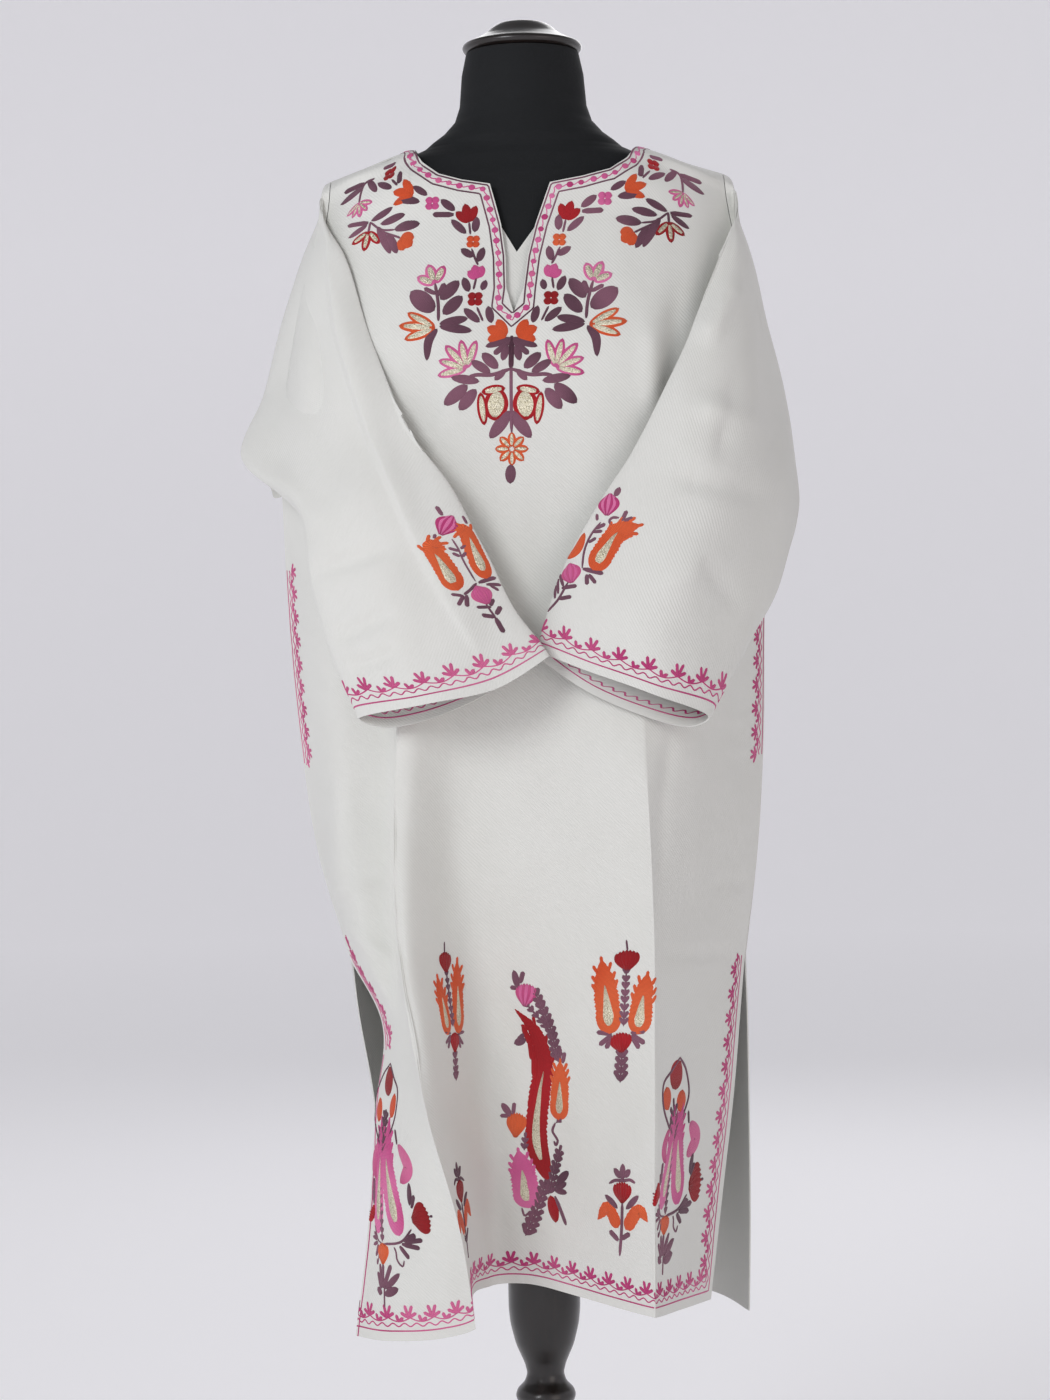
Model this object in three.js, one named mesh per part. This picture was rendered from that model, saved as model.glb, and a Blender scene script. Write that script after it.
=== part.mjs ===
// An embroidered pheran (a long loose tunic with wide sleeves) on a limbless dress form with a turned stand.
// Millimetres. Z is up, the front of the garment faces -Y, the floor is z = 0 under the middle of the base.
import * as THREE from "three";

// Garment sizes
const CLOTH = 1.6; // wall thickness of every cloth piece
const SEAM_GAP = 0.4; // clear space between two pieces along a seam
const SHOULDER_Z = 1430; // shoulder line at the neck points
const SHOULDER_FADE_Z = 1280; // level below which the slope of the shoulder is no longer felt
const HEM_Z = 335; // nominal hem height
const UNDERARM_Z = 1100; // level where the side seam starts
const SLIT_TOP_Z = 652; // level where the side slits open
const ARMHOLE_GAP = 0.6; // clear space between a sleeve and the edge of the body panels
const SHOULDER_LIFT = 0.5; // how much more upright the cloth's edge is cut along the shoulder
const HEAD_REACH = 7; // how far a sleeve runs straight out of the armhole
const HEAD_RISE = 3; // how far it swells over that length

// Form and stand sizes
const CAP_RADIUS = 57.5;
const CAP_BOTTOM_Z = 1521.3;
const TORSO_BOTTOM_Z = 760;
const BASE_RADIUS = 190;
const BASE_THICKNESS = 28;
const CONTACT_GAP = 0.3; // clear space between two rigid pieces of the stand

// Front panel: named places across the cloth, as distances from the centre front on the flat cut.
const FRONT_COLUMNS = {
  seamLeft: -270, sideLeft: -205, tuckOuter: -160, ridgeLeft: -125, tuckInner: -100,
  hollow: -55, centre: 0, ridgeRight: 120, sideRight: 195, seamRight: 270,
};
// One row per level: how far each place lies to the right, in the order of the columns above.
const FRONT_X = [
  [1430, -185, -158, -128, -109, -88, -48, 0, 109, 155, 190],
  [1423, -185, -158, -128, -109, -88, -48, 0, 109, 155, 190],
  [1405, -186, -158, -128, -109, -88, -49, -2, 109, 156, 191],
  [1350, -192, -161, -130, -110, -88, -50, -6, 108, 159, 197],
  [1240, -212, -172, -136, -112, -90, -52, -13, 107, 165, 214],
  [1100, -238, -188, -142, -116, -94, -56, -16, 105, 171, 230],
  [980, -234, -186, -137, -120, -100, -62, -12, 102, 168, 224],
  [865, -225, -182, -129, -126, -112, -73, -6, 101, 160, 221],
  [752, -209, -175, -131, -130, -117, -73, -6, 105, 157, 213],
  [652, -180, -156, -127, -124, -112, -64, -8, 106, 154, 199],
  [604, -150, -135, -120, -116, -104, -59, -9, 105, 150, 194],
  [530, -154, -134, -115, -103, -93, -57, -12, 104, 145, 186],
  [425, -162, -135, -98, -75, -72, -52, -16, 102, 138, 171],
  [335, -174, -137, -91, -62, -67, -51, -18, 101, 130, 158],
];
// One row per level: how far each place lies behind (+) or in front of (-) the middle of the form.
const FRONT_Y = [
  [1430, 0, 0, 0, 0, 0, 0, 0, 0, 0, 0],
  [1423, -16, -33, -37, -38, -48, -62, -68, -38, -35, -17],
  [1405, -24, -45, -59, -63, -68, -76, -79, -63, -47, -25],
  [1350, -40, -64, -76, -82, -88, -95, -98, -84, -66, -40],
  [1240, -48, -88, -112, -123, -129, -130, -127, -125, -92, -48],
  [1100, 0, -84, -112, -122, -128, -129, -128, -127, -94, 0],
  [980, 8, -78, -102, -126, -128, -126, -129, -131, -92, 8],
  [865, 10, -70, -88, -142, -143, -121, -127, -146, -87, 10],
  [752, 10, -70, -88, -158, -158, -112, -120, -150, -85, 10],
  [652, 10, -75, -100, -170, -168, -100, -105, -152, -80, 10],
  [604, -45, -95, -130, -175, -170, -92, -97, -153, -75, 5],
  [530, -85, -120, -155, -178, -160, -80, -82, -153, -75, -5],
  [425, -115, -145, -170, -176, -145, -66, -62, -150, -75, -20],
  [335, -125, -157, -168, -168, -110, -54, -50, -148, -90, -37],
];
// How much higher or lower than its level each place runs at the shoulder line and at the hem.
const FRONT_SHOULDER_RISE = [-28, -18, -8, 0, 0, 0, 0, 0, -16, -27];
const FRONT_HEM_RISE = [-16, -15, -11, -3, 12, 14, 15, 0, -3, -5];
const FRONT_CRISP = ["ridgeLeft", "ridgeRight"]; // places where the cloth turns over a pressed fold
const CRISP_FROM_Z = 940;
const CRISP_FULL_Z = 800;

// Back panel, in the same way.
const BACK_COLUMNS = {
  seamLeft: -270, sideLeft: -205, foldLeft: -135, centre: 0, foldRight: 135, sideRight: 205, seamRight: 270,
};
const BACK_X = [
  [1430, -185, -156, -109, -6, 109, 158, 190],
  [1423, -185, -156, -109, -6, 109, 158, 190],
  [1405, -186, -157, -109, -6, 109, 159, 191],
  [1350, -192, -162, -112, -4, 110, 163, 197],
  [1240, -212, -176, -118, 0, 118, 177, 214],
  [1100, -238, -196, -126, 0, 124, 190, 230],
  [980, -234, -190, -122, 0, 120, 184, 224],
  [865, -225, -184, -118, 0, 118, 180, 221],
  [752, -209, -172, -112, 0, 116, 174, 213],
  [652, -180, -150, -104, 2, 112, 166, 200],
  [604, -176, -148, -102, 4, 112, 168, 202],
  [530, -164, -142, -98, 6, 112, 170, 203],
  [425, -154, -134, -94, 8, 112, 172, 203],
  [335, -146, -128, -90, 10, 112, 171, 201],
];
const BACK_Y = [
  [1430, 0, 0, 0, 0, 0, 0, 0],
  [1423, 16, 37, 45, 72, 45, 37, 17],
  [1405, 24, 54, 72, 90, 72, 54, 25],
  [1350, 40, 70, 90, 102, 90, 70, 40],
  [1240, 48, 80, 99, 106, 99, 80, 48],
  [1100, 0, 66, 90, 101, 90, 66, 0],
  [980, 8, 72, 94, 102, 94, 72, 8],
  [865, 10, 78, 108, 96, 106, 76, 10],
  [752, 10, 80, 116, 88, 112, 78, 10],
  [652, 10, 82, 120, 82, 114, 80, 10],
  [604, 30, 88, 122, 80, 116, 84, 24],
  [530, 42, 94, 124, 78, 118, 90, 38],
  [425, 50, 98, 126, 76, 120, 96, 50],
  [335, 54, 100, 128, 74, 122, 98, 58],
];
const BACK_SHOULDER_RISE = [-28, -17, 0, 0, 0, -17, -27];
const BACK_HEM_RISE = [-20, -14, -8, -4, -12, -24, -35];

// Neckline, from the middle out: how far it lies left and right of the centre, and the height of its edge.
const FRONT_NECKLINE = [
  { left: 0, right: 0, z: 1258 },
  { left: 8.3, right: 8.3, z: 1281 },
  { left: 10.5, right: 10.5, z: 1312 },
  { left: 16, right: 16, z: 1343 },
  { left: 27.3, right: 27.3, z: 1383 },
  { left: 53, right: 58, z: 1388 },
  { left: 74, right: 84, z: 1395 },
  { left: 90, right: 101, z: 1408 },
  { left: 98, right: 109, z: 1420 },
  { left: 103, right: 115, z: SHOULDER_Z },
];
const BACK_NECKLINE = [
  { left: 0, right: 0, z: 1406 },
  { left: 60, right: 62, z: 1411 },
  { left: 88, right: 96, z: 1420 },
  { left: 103, right: 115, z: SHOULDER_Z },
];
const NECK_LEVEL = 1350; // level at which the neckline's distances are measured
const HALVINGS = 40; // steps of the search for a place near the neck

// Shares of the way from the top edge to the hem at which the body panels are sampled, and the widest step
// across.
const PANEL_SHARES = [
  0, 0.007, 0.023, 0.05, 0.085, 0.13, 0.18, 0.235, 0.29, 0.345, 0.4, 0.455, 0.505, 0.555, 0.605, 0.65, 0.69,
  0.712, 0.735, 0.765, 0.8, 0.845, 0.89, 0.945, 1,
];
const FRONT_STEP = 18;
const BACK_STEP = 30;
const CLOSEST_PLACES = 3;
const SIDE_SEAM_REACH = 20; // how far past its ends a side seam keeps its square edge

// Insert that closes the slit from behind: half widths and heights of its rows, top edge dipping to a V.
const INSERT_ROWS = [
  { z: 1352, dip: 34, half: 22 },
  { z: 1325, dip: 14, half: 19 },
  { z: 1300, dip: 4, half: 18 },
  { z: 1270, dip: 0, half: 16 },
  { z: 1244, dip: 0, half: 9 },
];
const INSERT_SETBACK = 3.2; // clear space between the insert and the back of the front panel

// Sleeve rings from armhole to cuff. inner is the fold that lies over the body, crease the pressed line beside
// it, face the middle of the front layer, outer the silhouette, under and rear the layer that faces the body.
const LEFT_SLEEVE = [
  { inner: [-172, -72, 1322], crease: [-187, -68, 1322], face: [-224, -28, 1290], outer: [-248, 18, 1212],
    under: [-250, -4, 1110], rear: [-212, -78, 1215] },
  { inner: [-142, -112, 1232], crease: [-169, -112, 1238], face: [-208, -78, 1210], outer: [-257, -2, 1188],
    under: [-258, -16, 1118], rear: [-196, -106, 1165] },
  { inner: [-107, -150, 1149], crease: [-144, -148, 1143], face: [-194, -122, 1136], outer: [-275, -24, 1139],
    under: [-250, -42, 1118], rear: [-160, -130, 1110] },
  { inner: [-71, -162, 1093], crease: [-121, -170, 1092], face: [-168, -164, 1082], outer: [-213, -126, 1078],
    under: [-200, -112, 1062], rear: [-115, -146, 1064] },
  { inner: [-42, -168, 1040], crease: [-94, -182, 1027], face: [-146, -184, 1013], outer: [-201, -146, 1006],
    under: [-186, -132, 995], rear: [-88, -150, 1006] },
  { inner: [-11, -174, 977], crease: [-63, -190, 969], face: [-124, -194, 950], outer: [-184, -158, 951],
    under: [-168, -144, 935], rear: [-62, -154, 946] },
  { inner: [14, -184, 940], crease: [-33, -198, 912], face: [-97, -203, 899], outer: [-161, -168, 886],
    under: [-131, -158, 878], rear: [-67, -164, 895] },
];
const RIGHT_SLEEVE = [
  { inner: [191, -72, 1337], crease: [198, -68, 1337], face: [212, -46, 1318], outer: [236, 14, 1232],
    under: [244, -4, 1110], rear: [212, -78, 1215] },
  { inner: [166, -106, 1279], crease: [181, -110, 1270], face: [206, -92, 1240], outer: [248, 2, 1180],
    under: [254, -20, 1088], rear: [200, -112, 1176] },
  { inner: [133, -140, 1198], crease: [158, -150, 1188], face: [189, -142, 1170], outer: [246, -40, 1140],
    under: [250, -42, 1062], rear: [172, -134, 1130] },
  { inner: [95, -153, 1130], crease: [128, -170, 1116], face: [169, -167, 1100], outer: [242, -72, 1088],
    under: [238, -64, 1030], rear: [136, -148, 1072] },
  { inner: [56, -158, 1069], crease: [95, -182, 1047], face: [149, -186, 1030], outer: [226, -96, 1022],
    under: [220, -88, 985], rear: [100, -150, 1016] },
  { inner: [22, -158, 1005], crease: [64, -186, 984], face: [120, -194, 966], outer: [199, -126, 955],
    under: [186, -118, 930], rear: [74, -152, 955] },
  { inner: [2, -157, 944], crease: [52, -182, 925], face: [108, -196, 904], outer: [159, -160, 882],
    under: [141, -152, 874], rear: [54, -153, 905] },
];
const RING_PLACES = ["inner", "crease", "face", "outer", "under", "rear"];
const RING_STEPS = 4; // points per named place around a sleeve
const SLEEVE_STEPS = 2; // rings per table row along a sleeve
// Where the named places of a sleeve sit on the armhole: level on the front (-1) or back (+1) panel edge.
const ARMHOLE_PLACES = [
  { side: -1, z: 1388 }, { side: -1, z: 1430 }, { side: 1, z: 1388 },
  { side: 1, z: 1240 }, { side: 1, z: UNDERARM_Z }, { side: -1, z: 1240 },
];

// Torso rings: height, half width, depth to the front and to the back.
const TORSO_RINGS = [
  { z: 1521, half: 54, front: 52, back: 52 },
  { z: 1500, half: 58.5, front: 55, back: 55 },
  { z: 1470, half: 61, front: 57, back: 58 },
  { z: 1455, half: 66, front: 60, back: 62 },
  { z: 1443, half: 77, front: 63, back: 66 },
  { z: 1435, half: 88, front: 65, back: 68 },
  { z: 1428.2, half: 96, front: 64, back: 66 },
  { z: 1423, half: 108, front: 65, back: 67 },
  { z: 1416.2, half: 129, front: 68, back: 72 },
  { z: 1406.4, half: 154, front: 71, back: 76 },
  { z: 1397.2, half: 173, front: 75, back: 80 },
  { z: 1384, half: 180, front: 79, back: 84 },
  { z: 1350, half: 184, front: 90, back: 92 },
  { z: 1300, half: 182, front: 104, back: 96 },
  { z: 1240, half: 176, front: 116, back: 96 },
  { z: 1170, half: 158, front: 106, back: 86 },
  { z: 1090, half: 142, front: 94, back: 78 },
  { z: 1000, half: 160, front: 98, back: 84 },
  { z: 900, half: 172, front: 100, back: 84 },
  { z: 800, half: 168, front: 94, back: 78 },
  { z: TORSO_BOTTOM_Z, half: 158, front: 86, back: 72 },
];
const TORSO_STEPS = 32; // points around the torso
// Turned profiles: radius and height.
const CAP_PROFILE = [
  [0, 0], [CAP_RADIUS - 5, 0], [CAP_RADIUS - 1.5, 2], [CAP_RADIUS, 5], [CAP_RADIUS - 1, 8],
  [CAP_RADIUS - 8, 11], [38, 17], [30, 24], [24, 28], [0, 29.5],
];
const POLE_PROFILE = [
  [0, 0], [34.5, 0], [34.5, -441], [33, -456], [28, -476], [20, -494], [17.5, -504], [20, -512],
  [27, -519], [29, -525], [27, -531], [19, -538], [17, -548], [19, -562], [24, -600], [25, -640],
  [22, -690], [22, BASE_THICKNESS + CONTACT_GAP * 2 - TORSO_BOTTOM_Z],
  [0, BASE_THICKNESS + CONTACT_GAP * 2 - TORSO_BOTTOM_Z],
];
const BASE_PROFILE = [
  [0, 0], [BASE_RADIUS - 3, 0], [BASE_RADIUS, 3], [BASE_RADIUS, 12], [BASE_RADIUS - 4, 18],
  [BASE_RADIUS - 30, 22], [60, 25], [48, BASE_THICKNESS], [0, BASE_THICKNESS],
];
const TURNED_STEPS = 36; // facets around a turned piece

// A cubic through values at rising places. At a crisp place each side keeps its own slope, so the curve turns.
function curveAt(places, values, at, crisp = []) {
  const last = places.length - 1;
  const x = Math.min(Math.max(at, places[0]), places[last]);
  let i = 0;
  while (i < last - 1 && x > places[i + 1]) i += 1;
  const slope = (k) => (values[k + 1] - values[k]) / (places[k + 1] - places[k]);
  const tangent = (k, own) => {
    if (k === 0) return slope(0);
    if (k === last) return slope(last - 1);
    const before = places[k] - places[k - 1];
    const after = places[k + 1] - places[k];
    const smooth = (slope(k - 1) * after + slope(k) * before) / (before + after);
    const sharp = crisp[k] ?? 0;
    return smooth + (own - smooth) * sharp;
  };
  const width = places[i + 1] - places[i];
  const t = (x - places[i]) / width;
  const a = tangent(i, slope(i)) * width;
  const b = tangent(i + 1, slope(i)) * width;
  const t2 = t * t;
  const t3 = t2 * t;
  return (
    (2 * t3 - 3 * t2 + 1) * values[i] + (t3 - 2 * t2 + t) * a +
    (3 * t2 - 2 * t3) * values[i + 1] + (t3 - t2) * b
  );
}

// The value of a table at a level, for each of its columns. Rows run from the top down. The first and last
// columns turn at the underarm and at the slit top, where the side seam starts and ends.
function rowAt(table, z) {
  const levels = table.map((row) => -row[0]);
  const turns = table.map(([level]) => (level === UNDERARM_Z || level === SLIT_TOP_Z ? 1 : 0));
  const columns = table[0].length - 1;
  return Array.from({ length: columns }, (_, c) => {
    const values = table.map((row) => row[c + 1]);
    return curveAt(levels, values, -z, c === 0 || c === columns - 1 ? turns : []);
  });
}

// 1 at and above the first height, 0 at and below the second.
function fade(high, low, z) {
  return THREE.MathUtils.smoothstep(z, low, high);
}

// A point of a body panel, by its place across the cut and its level.
function panelPoint(panel, u, z) {
  const places = Object.values(panel.columns);
  const sharp = 1 - fade(CRISP_FROM_Z, CRISP_FULL_Z, z);
  const crisp = Object.keys(panel.columns).map((name) => (panel.crisp.includes(name) ? sharp : 0));
  const top = curveAt(places, panel.shoulderRise, u) * fade(SHOULDER_Z, SHOULDER_FADE_Z, z);
  const bottom = curveAt(places, panel.hemRise, u) * (1 - fade(SLIT_TOP_Z, HEM_Z, z));
  return new THREE.Vector3(
    curveAt(places, rowAt(panel.x, z), u, crisp),
    curveAt(places, rowAt(panel.y, z), u, crisp),
    z + top + bottom,
  );
}

const FRONT = {
  columns: FRONT_COLUMNS, x: FRONT_X, y: FRONT_Y, crisp: FRONT_CRISP,
  shoulderRise: FRONT_SHOULDER_RISE, hemRise: FRONT_HEM_RISE, side: -1,
};
const BACK = {
  columns: BACK_COLUMNS, x: BACK_X, y: BACK_Y, crisp: [],
  shoulderRise: BACK_SHOULDER_RISE, hemRise: BACK_HEM_RISE, side: 1,
};

// A closed solid between an outer and an inner sheet of points with the same rows and columns.
function wallGeometry(outer, inner, closed) {
  const rows = outer.length;
  const columns = outer[0].length;
  const positions = [...outer.flat(), ...inner.flat()].flatMap((p) => [p.x, p.y, p.z]);
  const shift = rows * columns;
  const index = [];
  const quad = (a, b, c, d) => index.push(a, b, c, a, c, d);
  const at = (r, c) => r * columns + (c % columns);
  const under = (r, c) => shift + at(r, c);
  const spans = closed ? columns : columns - 1;
  const end = columns - 1;
  for (let r = 0; r < rows - 1; r += 1) {
    for (let c = 0; c < spans; c += 1) {
      quad(at(r, c), at(r, c + 1), at(r + 1, c + 1), at(r + 1, c));
      quad(under(r, c), under(r + 1, c), under(r + 1, c + 1), under(r, c + 1));
    }
    if (!closed) {
      quad(at(r, 0), at(r + 1, 0), under(r + 1, 0), under(r, 0));
      quad(at(r + 1, end), at(r, end), under(r, end), under(r + 1, end));
    }
  }
  for (let c = 0; c < spans; c += 1) {
    quad(at(0, c + 1), at(0, c), under(0, c), under(0, c + 1));
    quad(at(rows - 1, c), at(rows - 1, c + 1), under(rows - 1, c + 1), under(rows - 1, c));
  }
  const geometry = new THREE.BufferGeometry();
  geometry.setAttribute("position", new THREE.Float32BufferAttribute(positions, 3));
  geometry.setIndex(signedVolume(positions, index) < 0 ? index.reverse() : index);
  return geometry;
}

// The volume inside a surface, below zero when its faces point inwards.
function signedVolume(positions, index) {
  const p = (k) => new THREE.Vector3().fromArray(positions, 3 * index[k]);
  let sum = 0;
  for (let k = 0; k < index.length; k += 3) sum += p(k).dot(p(k + 1).cross(p(k + 2)));
  return sum / 6;
}

// Unit normals of a sheet of points, by the differences of the neighbours.
function sheetNormals(sheet, closed) {
  const rows = sheet.length;
  const columns = sheet[0].length;
  return sheet.map((row, r) =>
    row.map((_, c) => {
      const up = sheet[Math.max(r - 1, 0)][c];
      const down = sheet[Math.min(r + 1, rows - 1)][c];
      const left = row[closed ? (c + columns - 1) % columns : Math.max(c - 1, 0)];
      const right = row[closed ? (c + 1) % columns : Math.min(c + 1, columns - 1)];
      return right.clone().sub(left).cross(down.clone().sub(up)).normalize();
    }),
  );
}

// The places across a body panel at which its solid is sampled, with the corners of the neckline among them.
function panelPlaces(panel, neckline, step) {
  const corners = neckline.flatMap(({ left, right }) => [neckPlace(panel, -left), neckPlace(panel, right)]);
  const wanted = [...Object.values(panel.columns), ...corners].sort((a, b) => a - b);
  const places = [wanted[0]];
  for (const place of wanted.slice(1)) {
    const from = places[places.length - 1];
    if (place - from < CLOSEST_PLACES) continue;
    const parts = Math.ceil((place - from) / step);
    for (let k = 1; k <= parts; k += 1) places.push(from + ((place - from) * k) / parts);
  }
  return places;
}

// The place across the cut that lies a distance to the side of the centre front near the neck, by halving.
function neckPlace(panel, distance) {
  if (distance === 0) return 0;
  const places = Object.values(panel.columns);
  const row = rowAt(panel.x, NECK_LEVEL);
  const target = row[places.indexOf(0)] + distance;
  let low = places[0];
  let high = places[places.length - 1];
  for (let k = 0; k < HALVINGS; k += 1) {
    const middle = (low + high) / 2;
    if (curveAt(places, row, middle) < target) low = middle;
    else high = middle;
  }
  return (low + high) / 2;
}

// The level of a panel's top edge at a place across the cut: the neckline near the middle, else the shoulder.
function topLevel(panel, neckline, u) {
  const places = neckline.map(({ left, right }) => Math.abs(neckPlace(panel, u < 0 ? -left : right)));
  const at = Math.abs(u);
  const next = places.findIndex((place) => place >= at);
  if (next < 0) return SHOULDER_Z;
  if (next === 0) return neckline[0].z;
  const t = (at - places[next - 1]) / (places[next] - places[next - 1]);
  return THREE.MathUtils.lerp(neckline[next - 1].z, neckline[next].z, t);
}

// A body panel as a solid: outer sheet, and inner sheet moved in by the cloth's thickness. Along the shoulder
// and side seams the edge is cut square, so that the two panels face each other across the seam gap.
function panelGeometry(panel, neckline, step) {
  const places = panelPlaces(panel, neckline, step);
  const last = places.length - 1;
  const tops = places.map((u) => topLevel(panel, neckline, u));
  const levelAt = (r, c) => THREE.MathUtils.lerp(tops[c], HEM_Z, PANEL_SHARES[r]);
  const onShoulder = (r, c) => r === 0 && tops[c] === SHOULDER_Z;
  const onSide = (r, c) => (c === 0 || c === last) && levelAt(r, c) >= SLIT_TOP_Z - SIDE_SEAM_REACH;
  const sheet = PANEL_SHARES.map((_, r) =>
    places.map((u, c) => {
      const point = panelPoint(panel, u, levelAt(r, c));
      const sewn = onShoulder(r, c) || (onSide(r, c) && levelAt(r, c) <= UNDERARM_Z);
      return sewn ? point.setY(point.y + (panel.side * SEAM_GAP) / 2) : point;
    }),
  );
  const normals = sheetNormals(sheet, false);
  const inner = sheet.map((row, r) =>
    row.map((point, c) => {
      const normal = normals[r][c];
      if (normal.y * panel.side < 0) normal.negate();
      const onSeam = onSide(r, c) && levelAt(r, c) <= UNDERARM_Z + SIDE_SEAM_REACH;
      if (onShoulder(r, c)) normal.set(normal.x, 0, Math.abs(normal.z) + SHOULDER_LIFT).normalize();
      else if (onSeam) normal.set(c === 0 ? -1 : 1, 0, 0);
      return point.clone().addScaledVector(normal, -CLOTH);
    }),
  );
  return wallGeometry(sheet, inner, false);
}

// The small panel behind the neck slit, laid on the inside of the front panel.
function insertGeometry() {
  const acrossSteps = 6;
  const reach = 4; // half the distance over which the slope of the front panel is taken
  const sheets = [CLOTH + INSERT_SETBACK, 2 * CLOTH + INSERT_SETBACK].map((depth) =>
    INSERT_ROWS.map(({ z, dip, half }) =>
      Array.from({ length: acrossSteps + 1 }, (_, k) => {
        const d = -half + (2 * half * k) / acrossSteps;
        const u = neckPlace(FRONT, d);
        const level = z - dip * (1 - Math.abs(d) / half);
        const across = panelPoint(FRONT, u + reach, level).sub(panelPoint(FRONT, u - reach, level));
        const down = panelPoint(FRONT, u, level - reach).sub(panelPoint(FRONT, u, level + reach));
        const normal = across.cross(down).normalize();
        return panelPoint(FRONT, u, level).addScaledVector(normal, depth * Math.sign(normal.y));
      }),
    ),
  );
  return wallGeometry(sheets[0], sheets[1], false);
}

// The armhole edge as a ring in the sleeve's order, moved out from the body panels.
function armholeRing(sign) {
  const places = ARMHOLE_PLACES;
  const ring = [];
  places.forEach((from, k) => {
    const to = places[(k + 1) % places.length];
    for (let s = 0; s < RING_STEPS; s += 1) {
      const t = s / RING_STEPS;
      const z = from.z + (to.z - from.z) * t;
      const side = from.z === SHOULDER_Z || from.z === UNDERARM_Z ? to.side : from.side;
      const panel = side < 0 ? FRONT : BACK;
      const u = sign < 0 ? panel.columns.seamLeft : panel.columns.seamRight;
      const point = panelPoint(panel, u, z);
      ring.push(point.add(new THREE.Vector3(sign * ARMHOLE_GAP, 0, 0)));
    }
  });
  return ring;
}

// The ring just outside the armhole, where the sleeve turns away from the body panels.
function headRing(armhole, sign) {
  const middle = armhole.reduce((sum, p) => sum.add(p), new THREE.Vector3()).divideScalar(armhole.length);
  return armhole.map((p) => {
    const out = p.clone().sub(middle).setX(0).normalize();
    return p.clone().addScaledVector(out, HEAD_RISE).add(new THREE.Vector3(sign * HEAD_REACH, 0, 0));
  });
}

// A closed ring through the named places of one table row.
function namedRing(row) {
  const points = RING_PLACES.map((name) => new THREE.Vector3(...row[name]));
  const loop = new THREE.CatmullRomCurve3(points, true, "centripetal");
  return loop.getPoints(RING_PLACES.length * RING_STEPS).slice(0, -1);
}

// A sleeve as a hollow tube, open at the armhole and the cuff.
function sleeveGeometry(table, sign) {
  const armhole = armholeRing(sign);
  const rings = [armhole, headRing(armhole, sign), ...table.map(namedRing)];
  const steps = (rings.length - 1) * SLEEVE_STEPS;
  const line = (c) => rings.map((ring) => ring[c]);
  const along = armhole.map((_, c) => new THREE.CatmullRomCurve3(line(c), false, "centripetal"));
  const sheet = Array.from({ length: steps + 1 }, (_, r) => along.map((curve) => curve.getPoint(r / steps)));
  const normals = sheetNormals(sheet, true);
  const inner = sheet.map((row, r) => {
    const middle = row.reduce((sum, p) => sum.add(p), new THREE.Vector3()).divideScalar(row.length);
    const facing = row.reduce((sum, p, c) => sum + normals[r][c].dot(p.clone().sub(middle)), 0);
    const outwards = facing > 0 ? 1 : -1;
    return row.map((point, c) => {
      const n = normals[r][c].multiplyScalar(outwards);
      if (r === 0) n.setX(0).normalize();
      return point.clone().addScaledVector(n, -CLOTH);
    });
  });
  return wallGeometry(sheet, inner, true);
}

// The limbless torso with its neck, as one smooth solid.
function torsoGeometry() {
  const sheet = TORSO_RINGS.map(({ z, half, front, back }) =>
    Array.from({ length: TORSO_STEPS }, (_, k) => {
      const angle = (2 * Math.PI * k) / TORSO_STEPS;
      const depth = Math.sin(angle) < 0 ? front : back;
      return new THREE.Vector3(half * Math.cos(angle), depth * Math.sin(angle), z);
    }),
  );
  const positions = sheet.flat().flatMap((p) => [p.x, p.y, p.z]);
  const index = [];
  const at = (r, k) => r * TORSO_STEPS + (k % TORSO_STEPS);
  for (let r = 0; r < sheet.length - 1; r += 1) {
    for (let k = 0; k < TORSO_STEPS; k += 1) {
      index.push(at(r, k), at(r + 1, k), at(r + 1, k + 1), at(r, k), at(r + 1, k + 1), at(r, k + 1));
    }
  }
  for (let k = 1; k < TORSO_STEPS - 1; k += 1) {
    index.push(at(0, 0), at(0, k), at(0, k + 1));
    index.push(at(sheet.length - 1, 0), at(sheet.length - 1, k + 1), at(sheet.length - 1, k));
  }
  const geometry = new THREE.BufferGeometry();
  geometry.setAttribute("position", new THREE.Float32BufferAttribute(positions, 3));
  geometry.setIndex(signedVolume(positions, index) < 0 ? index.reverse() : index);
  return geometry;
}

// A turned piece: its profile swept round Z and moved up.
function turnedGeometry(profile, z) {
  const inside = profile.filter(([radius]) => radius > 0);
  const positions = [];
  for (const [radius, height] of inside) {
    for (let k = 0; k < TURNED_STEPS; k += 1) {
      const angle = (2 * Math.PI * k) / TURNED_STEPS;
      positions.push(radius * Math.cos(angle), radius * Math.sin(angle), z + height);
    }
  }
  const count = inside.length;
  positions.push(0, 0, z + profile[0][1], 0, 0, z + profile[profile.length - 1][1]);
  const first = count * TURNED_STEPS;
  const index = [];
  const at = (r, k) => r * TURNED_STEPS + (k % TURNED_STEPS);
  for (let k = 0; k < TURNED_STEPS; k += 1) {
    for (let r = 0; r < count - 1; r += 1) {
      index.push(at(r, k), at(r, k + 1), at(r + 1, k + 1), at(r, k), at(r + 1, k + 1), at(r + 1, k));
    }
    index.push(first, at(0, k + 1), at(0, k));
    index.push(first + 1, at(count - 1, k), at(count - 1, k + 1));
  }
  const geometry = new THREE.BufferGeometry();
  geometry.setAttribute("position", new THREE.Float32BufferAttribute(positions, 3));
  geometry.setIndex(signedVolume(positions, index) < 0 ? index.reverse() : index);
  return geometry;
}

const finish = (color, roughness) => new THREE.MeshStandardMaterial({ color, roughness, metalness: 0 });
const wool = () => finish(0xd9d9d5, 0.85);
const jersey = () => finish(0x1b1e20, 0.9);
const lacqueredWood = () => finish(0x0c0a0a, 0.25);

// One sub-part of the object.
function piece(name, geometry, material) {
  const mesh = new THREE.Mesh(geometry, material);
  mesh.name = name;
  return mesh;
}

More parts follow.
